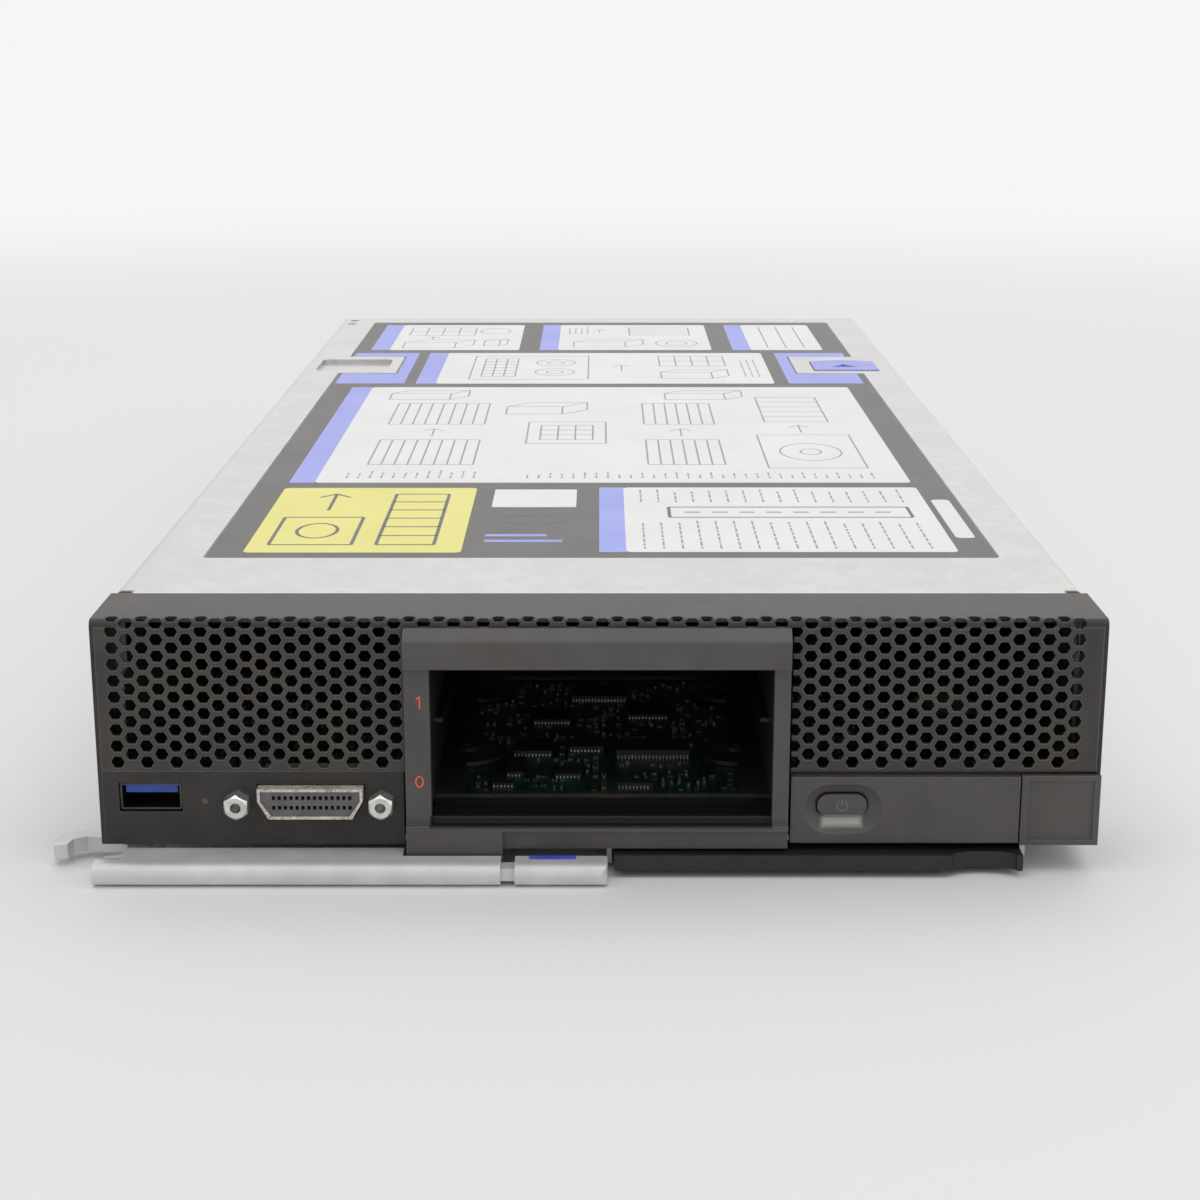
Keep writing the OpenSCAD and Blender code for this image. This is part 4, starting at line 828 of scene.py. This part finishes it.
def ellipses(centres, radius_x, radius_y, sides=24):
    """Strokes round ellipses: the chords between points at equal turns about each centre."""
    angles = np.linspace(0, 2 * math.pi, sides + 1)
    return [[x + radius_x * math.cos(start), y + radius_y * math.sin(start),
             x + radius_x * math.cos(end), y + radius_y * math.sin(end)]
            for x, y in centres for start, end in zip(angles[:-1], angles[1:])]


def arrows(tips, length, head):
    """Strokes of arrows that point at tips along +y: a shaft and two barbs."""
    return [stroke for x, y in tips for stroke in
            ([x, y - length, x, y], [x - head, y - head, x, y], [x + head, y - head, x, y])]


def rules(x0, y0, x1, y1, step, seed):
    """Rows of short broken rules along y, with seeded lengths: the grey of a text block, with no text.

    A rule is 1.5 to 5 mm long, with 1.2 mm to the next, and none starts in a row's last 3 mm.
    """
    draw = np.random.default_rng(seed)
    rows = []
    for x in np.arange(x0, x1, step):
        y = y0
        while y < y1 - 3:
            length = draw.uniform(1.5, 5)
            rows.append([x, y, x, min(y + length, y1)])
            y += length + 1.2
    return rows


def drawn_boxes(corners, width, depth, rise):
    """Strokes of a box in oblique projection: its front, and the edges of its top and its side.

    Each edge that goes back is moved by depth to the right and by depth up.
    """
    return [line for x, y in corners for line in
            grid_lines(x, y, x + width, y + rise, 1, 1)
            + [[x, y + rise, x + depth, y + rise + depth], [x + width, y, x + width + depth, y + depth],
               [x + width, y + rise, x + width + depth, y + rise + depth],
               [x + depth, y + rise + depth, x + width + depth, y + rise + depth],
               [x + width + depth, y + depth, x + width + depth, y + rise + depth]]]


def label_ink(name, shades, mottle_mm):
    """A screen-printed ink under the label's laminate: an even satin with next to no relief."""
    return finish(name, shades, mottle_mm, roughness=(0.4, 0.5), grain_mm=0.5, depth_mm=0.003, round_mm=0.02)


# Panels, strips and a block are one coat of ink on the ground, drawn 0.02 mm thick. Lines are printed
# over them, a hundredth of a millimetre higher.
INK = 0.02 * MM
OVERPRINT = 0.03 * MM
white_ink = label_ink("white_ink", ("#ececeb", "#f1f1f0"), 30)
blue_ink = label_ink("blue_ink", ("#9aa2ee", "#a4acf6"), 30)
yellow_ink = label_ink("yellow_ink", ("#efe77c", "#f4ec86"), 30)
grey_line_ink = label_ink("grey_line_ink", ("#8f8d8a", "#9b9996"), 8)
dark_ink = label_ink("dark_ink", ("#55524f", "#605d5a"), 8)

white_panels = [[6.5, 62.5, 85.8, 136.7], [-78, 143, 85.4, 303], [-57, 310.6, 61, 382.3],
                [-80.4, 390, -30.8, 460], [-15.8, 390, 43, 460], [58, 390, 85.5, 460]]
white_square = [[-28, 112, -6, 134]]
add_piece("label_white_panels", "cover", "label_film", white_ink,
          label_print(white_panels, INK), label_print(white_square, INK, radius=0.5))
blue_strips = [[0, 62.5, 6.5, 136.7], [-85, 143, -78, 303], [-64, 310.6, -57, 382.3],
               [-92, 311, -68, 333.2], [-72.2, 333.2, -68, 373.4], [-92, 373.4, -68, 382.3],
               [66, 311, 92, 332.2], [66, 332.2, 70.1, 372.8], [66, 372.8, 92, 382.3],
               [-87.5, 390, -80.4, 460], [-23, 390, -15.8, 460], [51, 390, 58, 460]]
blue_rules = [[-28, 74, -9, 74], [-28, 80, -13, 80]]
add_piece("label_blue_strips", "cover", "label_film", blue_ink,
          label_print(blue_strips, INK, radius=0.4), strokes(blue_rules, 2.4, INK))
yellow_panel = [[-85, 62, -33, 136]]
add_piece("label_yellow_panel", "cover", "label_film", yellow_ink, label_print(yellow_panel, INK))

# The large panel: a board plan with banks of bars, two framed tables and a ringed fan, with arrows up.
board_diagram = (grid_lines(-66, 168, -36, 206, 8, 1) + grid_lines(-66, 232, -36, 270, 8, 1)
                 + grid_lines(-22, 200, 2, 236, 1, 1) + grid_lines(-18, 206, -2, 230, 3, 3)
                 + grid_lines(14, 168, 36, 206, 6, 1) + grid_lines(14, 232, 36, 270, 6, 1)
                 + grid_lines(48, 163, 76, 214, 1, 1) + grid_lines(52, 236, 72, 282, 1, 5)
                 + ellipses([(62, 187)], 9, 13) + ellipses([(62, 187)], 3, 4.5)
                 + arrows([(-51, 224), (25, 224), (62, 230)], 12, 3))
# The middle panel: a frame with a table and two rings, an arrow and a second table.
middle_diagram = (grid_lines(-46, 320, -4, 374, 1, 1) + grid_lines(-42, 326, -30, 368, 3, 6)
                  + ellipses([(-16, 336), (-16, 358)], 7, 8) + ellipses([(-16, 336), (-16, 358)], 3, 3.5)
                  + arrows([(8, 352)], 14, 3) + grid_lines(22, 350, 46, 374, 4, 2))
# The three rear panels: tables, rings and arrows, and three long rules in the last.
rear_diagrams = (grid_lines(-76, 430, -50, 452, 4, 2) + ellipses([(-42, 442)], 6, 8)
                 + grid_lines(12, 430, 36, 452, 1, 4)
                 + ellipses([(30, 408)], 8, 10, 32) + ellipses([(30, 408)], 4, 5)
                 + arrows([(-66, 426), (0, 446)], 8, 2.5) + [[x, 396, x, 454] for x in (65, 72, 79)])
# Boxes on all of them, and broken rules where a text block would stand.
box_drawings = (drawn_boxes([(-70, 278), (22, 278)], 20, 6, 12) + drawn_boxes([(-30, 250)], 18, 8, 14)
                + drawn_boxes([(22, 322)], 18, 6, 14) + drawn_boxes([(-76, 396), (-10, 398)], 20, 7, 14)
                + drawn_boxes([(-45, 402)], 6, 3, 14))
text_rules = (rules(11, 66, 84, 96, 4.6, 3) + rules(11, 118, 84, 134, 4.6, 4)
              + rules(-20, 149, 78, 157, 3.2, 5) + rules(-70, 149, -34, 160, 3.2, 6)
              + rules(-12, 434, -4, 454, 2.4, 7) + rules(52, 326, 59, 366, 2.4, 8))
THIN_LINE, BOLD_LINE = 0.5, 0.9
thin_lines = board_diagram + middle_diagram + rear_diagrams + box_drawings + text_rules
add_piece("label_thin_lines", "cover", "label_film", grey_line_ink, strokes(thin_lines, THIN_LINE, OVERPRINT))

# Bold lines: a ringed frame, an arrow and a table on the yellow panel, a framed row of eight lamps on the
# front white one, and a ring under the white square.
lamp_row = [[22 + 7 * lamp, 106, 26 + 7 * lamp, 106] for lamp in range(8)]
bold_lines = (grid_lines(-80, 70, -60, 100, 1, 1) + arrows([(-70, 128)], 20, 4)
              + grid_lines(-54, 70, -40, 128, 1, 6) + ellipses([(-70, 85)], 5, 8)
              + grid_lines(18, 100, 80, 112, 1, 1) + lamp_row + ellipses([(-17, 98)], 8, 5))
add_piece("label_bold_lines", "cover", "label_film", dark_ink, strokes(bold_lines, BOLD_LINE, OVERPRINT))

# A blank inventory sticker beside the label's front edge: uncoated white paper.
STICKER_THICKNESS = 0.05 * MM
sticker_paper = finish(
    "sticker_paper", ("#ececea", "#f1f1ef"), mottle_mm=10, roughness=(0.5, 0.6), grain_mm=0.4,
    depth_mm=0.006, round_mm=0.02)
sticker = [[87.4, 77, 92.2, 121]]
add_piece("blank_sticker", "cover", "label_film", sticker_paper, label_print(sticker, STICKER_THICKNESS))

# ---------------------------------------------------------------- studio
# A pale floor that runs out into a pale surround, under broad, weak lamps: the light is soft from above
# and falls off down the upright faces.

# The floor is matt near the object, where it takes the shadow, and glows evenly from FADE_END outwards.
PALE = "#f6f6f6"
FLOOR_RADIUS = 9
FLOOR_GAP = 0.2 * MM
FADE_START, FADE_END = 0.5, 1.6
bpy.ops.mesh.primitive_circle_add(vertices=96, radius=FLOOR_RADIUS, fill_type="NGON",
                                  location=(0, 0, cad_low.z - FLOOR_GAP))
floor = bpy.context.object
floor.name = "floor"
pale_floor = bpy.data.materials.new("pale_floor")
pale_floor.use_nodes = True
tree = pale_floor.node_tree
tree.nodes.remove(tree.nodes["Principled BSDF"])
matt = add_node(tree, "BsdfDiffuse", {"Color": PALE})
glow = add_node(tree, "Emission", {"Color": PALE})
clear = add_node(tree, "BsdfTransparent")
place = add_node(tree, "TexCoord").outputs["Object"]
reach = add_node(tree, "VectorMath", {0: place}, operation="LENGTH").outputs["Value"]
far = add_node(tree, "MapRange", {"Value": reach, "From Min": FADE_START, "From Max": FADE_END},
               interpolation_type="SMOOTHERSTEP").outputs[0]


def seen_directly(tree):
    """1 for rays from the camera and for those that metal or glass turn aside, else 0."""
    path = add_node(tree, "LightPath").outputs
    some = add_node(tree, "Math", {0: path["Is Camera Ray"], 1: path["Is Glossy Ray"]}, operation="MAXIMUM")
    return add_node(tree, "Math", {0: some.outputs[0], 1: path["Is Transmission Ray"]},
                    operation="MAXIMUM").outputs[0]


share = add_node(tree, "Math", {0: far, 1: seen_directly(tree)}, operation="MULTIPLY")
lit = add_node(tree, "MixShader", {0: share.outputs[0], 1: matt.outputs[0], 2: glow.outputs[0]})
seen = add_node(tree, "MixShader", {0: add_node(tree, "NewGeometry").outputs["Backfacing"],
                                    1: lit.outputs[0], 2: clear.outputs[0]})
tree.links.new(seen.outputs[0], tree.nodes["Material Output"].inputs["Surface"])
floor.data.materials.append(pale_floor)
floor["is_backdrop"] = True

# The air lights the object with a weak white, and looks like the floor where it is seen directly.
AIR_STRENGTH = 0.47
world = bpy.context.scene.world or bpy.data.worlds.new("studio")
bpy.context.scene.world = world
world.use_nodes = True
tree = world.node_tree
air = tree.nodes["Background"]
air.inputs["Color"].default_value = linear("#ffffff")
air.inputs["Strength"].default_value = AIR_STRENGTH
surround = add_node(tree, "Background", {"Color": PALE})
both = add_node(tree, "MixShader", {0: seen_directly(tree), 1: air.outputs[0], 2: surround.outputs[0]})
tree.links.new(both.outputs[0], tree.nodes["World Output"].inputs["Surface"])

# Each lamp's name, place and power in watts; all are squares of one size, turned to the object.
LAMP_SIDE = 3.6
LAMPS = [("fill_lamp", (-1.5, -1.5, 2.2), 10), ("key_lamp", (1.8, -1.4, 2.0), 18),
         ("back_lamp", (0.5, 2.1, 2.1), 15), ("top_lamp", (0.0, 0.1, 2.6), 20)]
for name, place, power in LAMPS:
    lamp = bpy.data.lights.new(name, "AREA")
    lamp.size = LAMP_SIDE
    lamp.energy = power
    holder = bpy.data.objects.new(name, lamp)
    holder.location = place
    holder.rotation_euler = (-Vector(place)).to_track_quat("-Z", "Y").to_euler()
    bpy.context.scene.collection.objects.link(holder)

# The camera stands 0.45 m in front of the bezel and 0.18 m over the floor, on the middle line, and looks
# down by 14.9 degrees through a 65.8 mm lens on a 36 mm sensor.
LOOK_DOWN = 14.9
camera = bpy.data.objects.new("camera", bpy.data.cameras.new("camera"))
camera.data.lens = 65.8
camera.data.sensor_width = 36
camera.location = (0.0002, -0.6867, 0.1733)
camera.rotation_euler = (math.radians(90 - LOOK_DOWN), 0, 0)
bpy.context.scene.collection.objects.link(camera)
bpy.context.scene.camera = camera
bpy.context.scene.view_settings.view_transform = "Standard"

low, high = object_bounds()
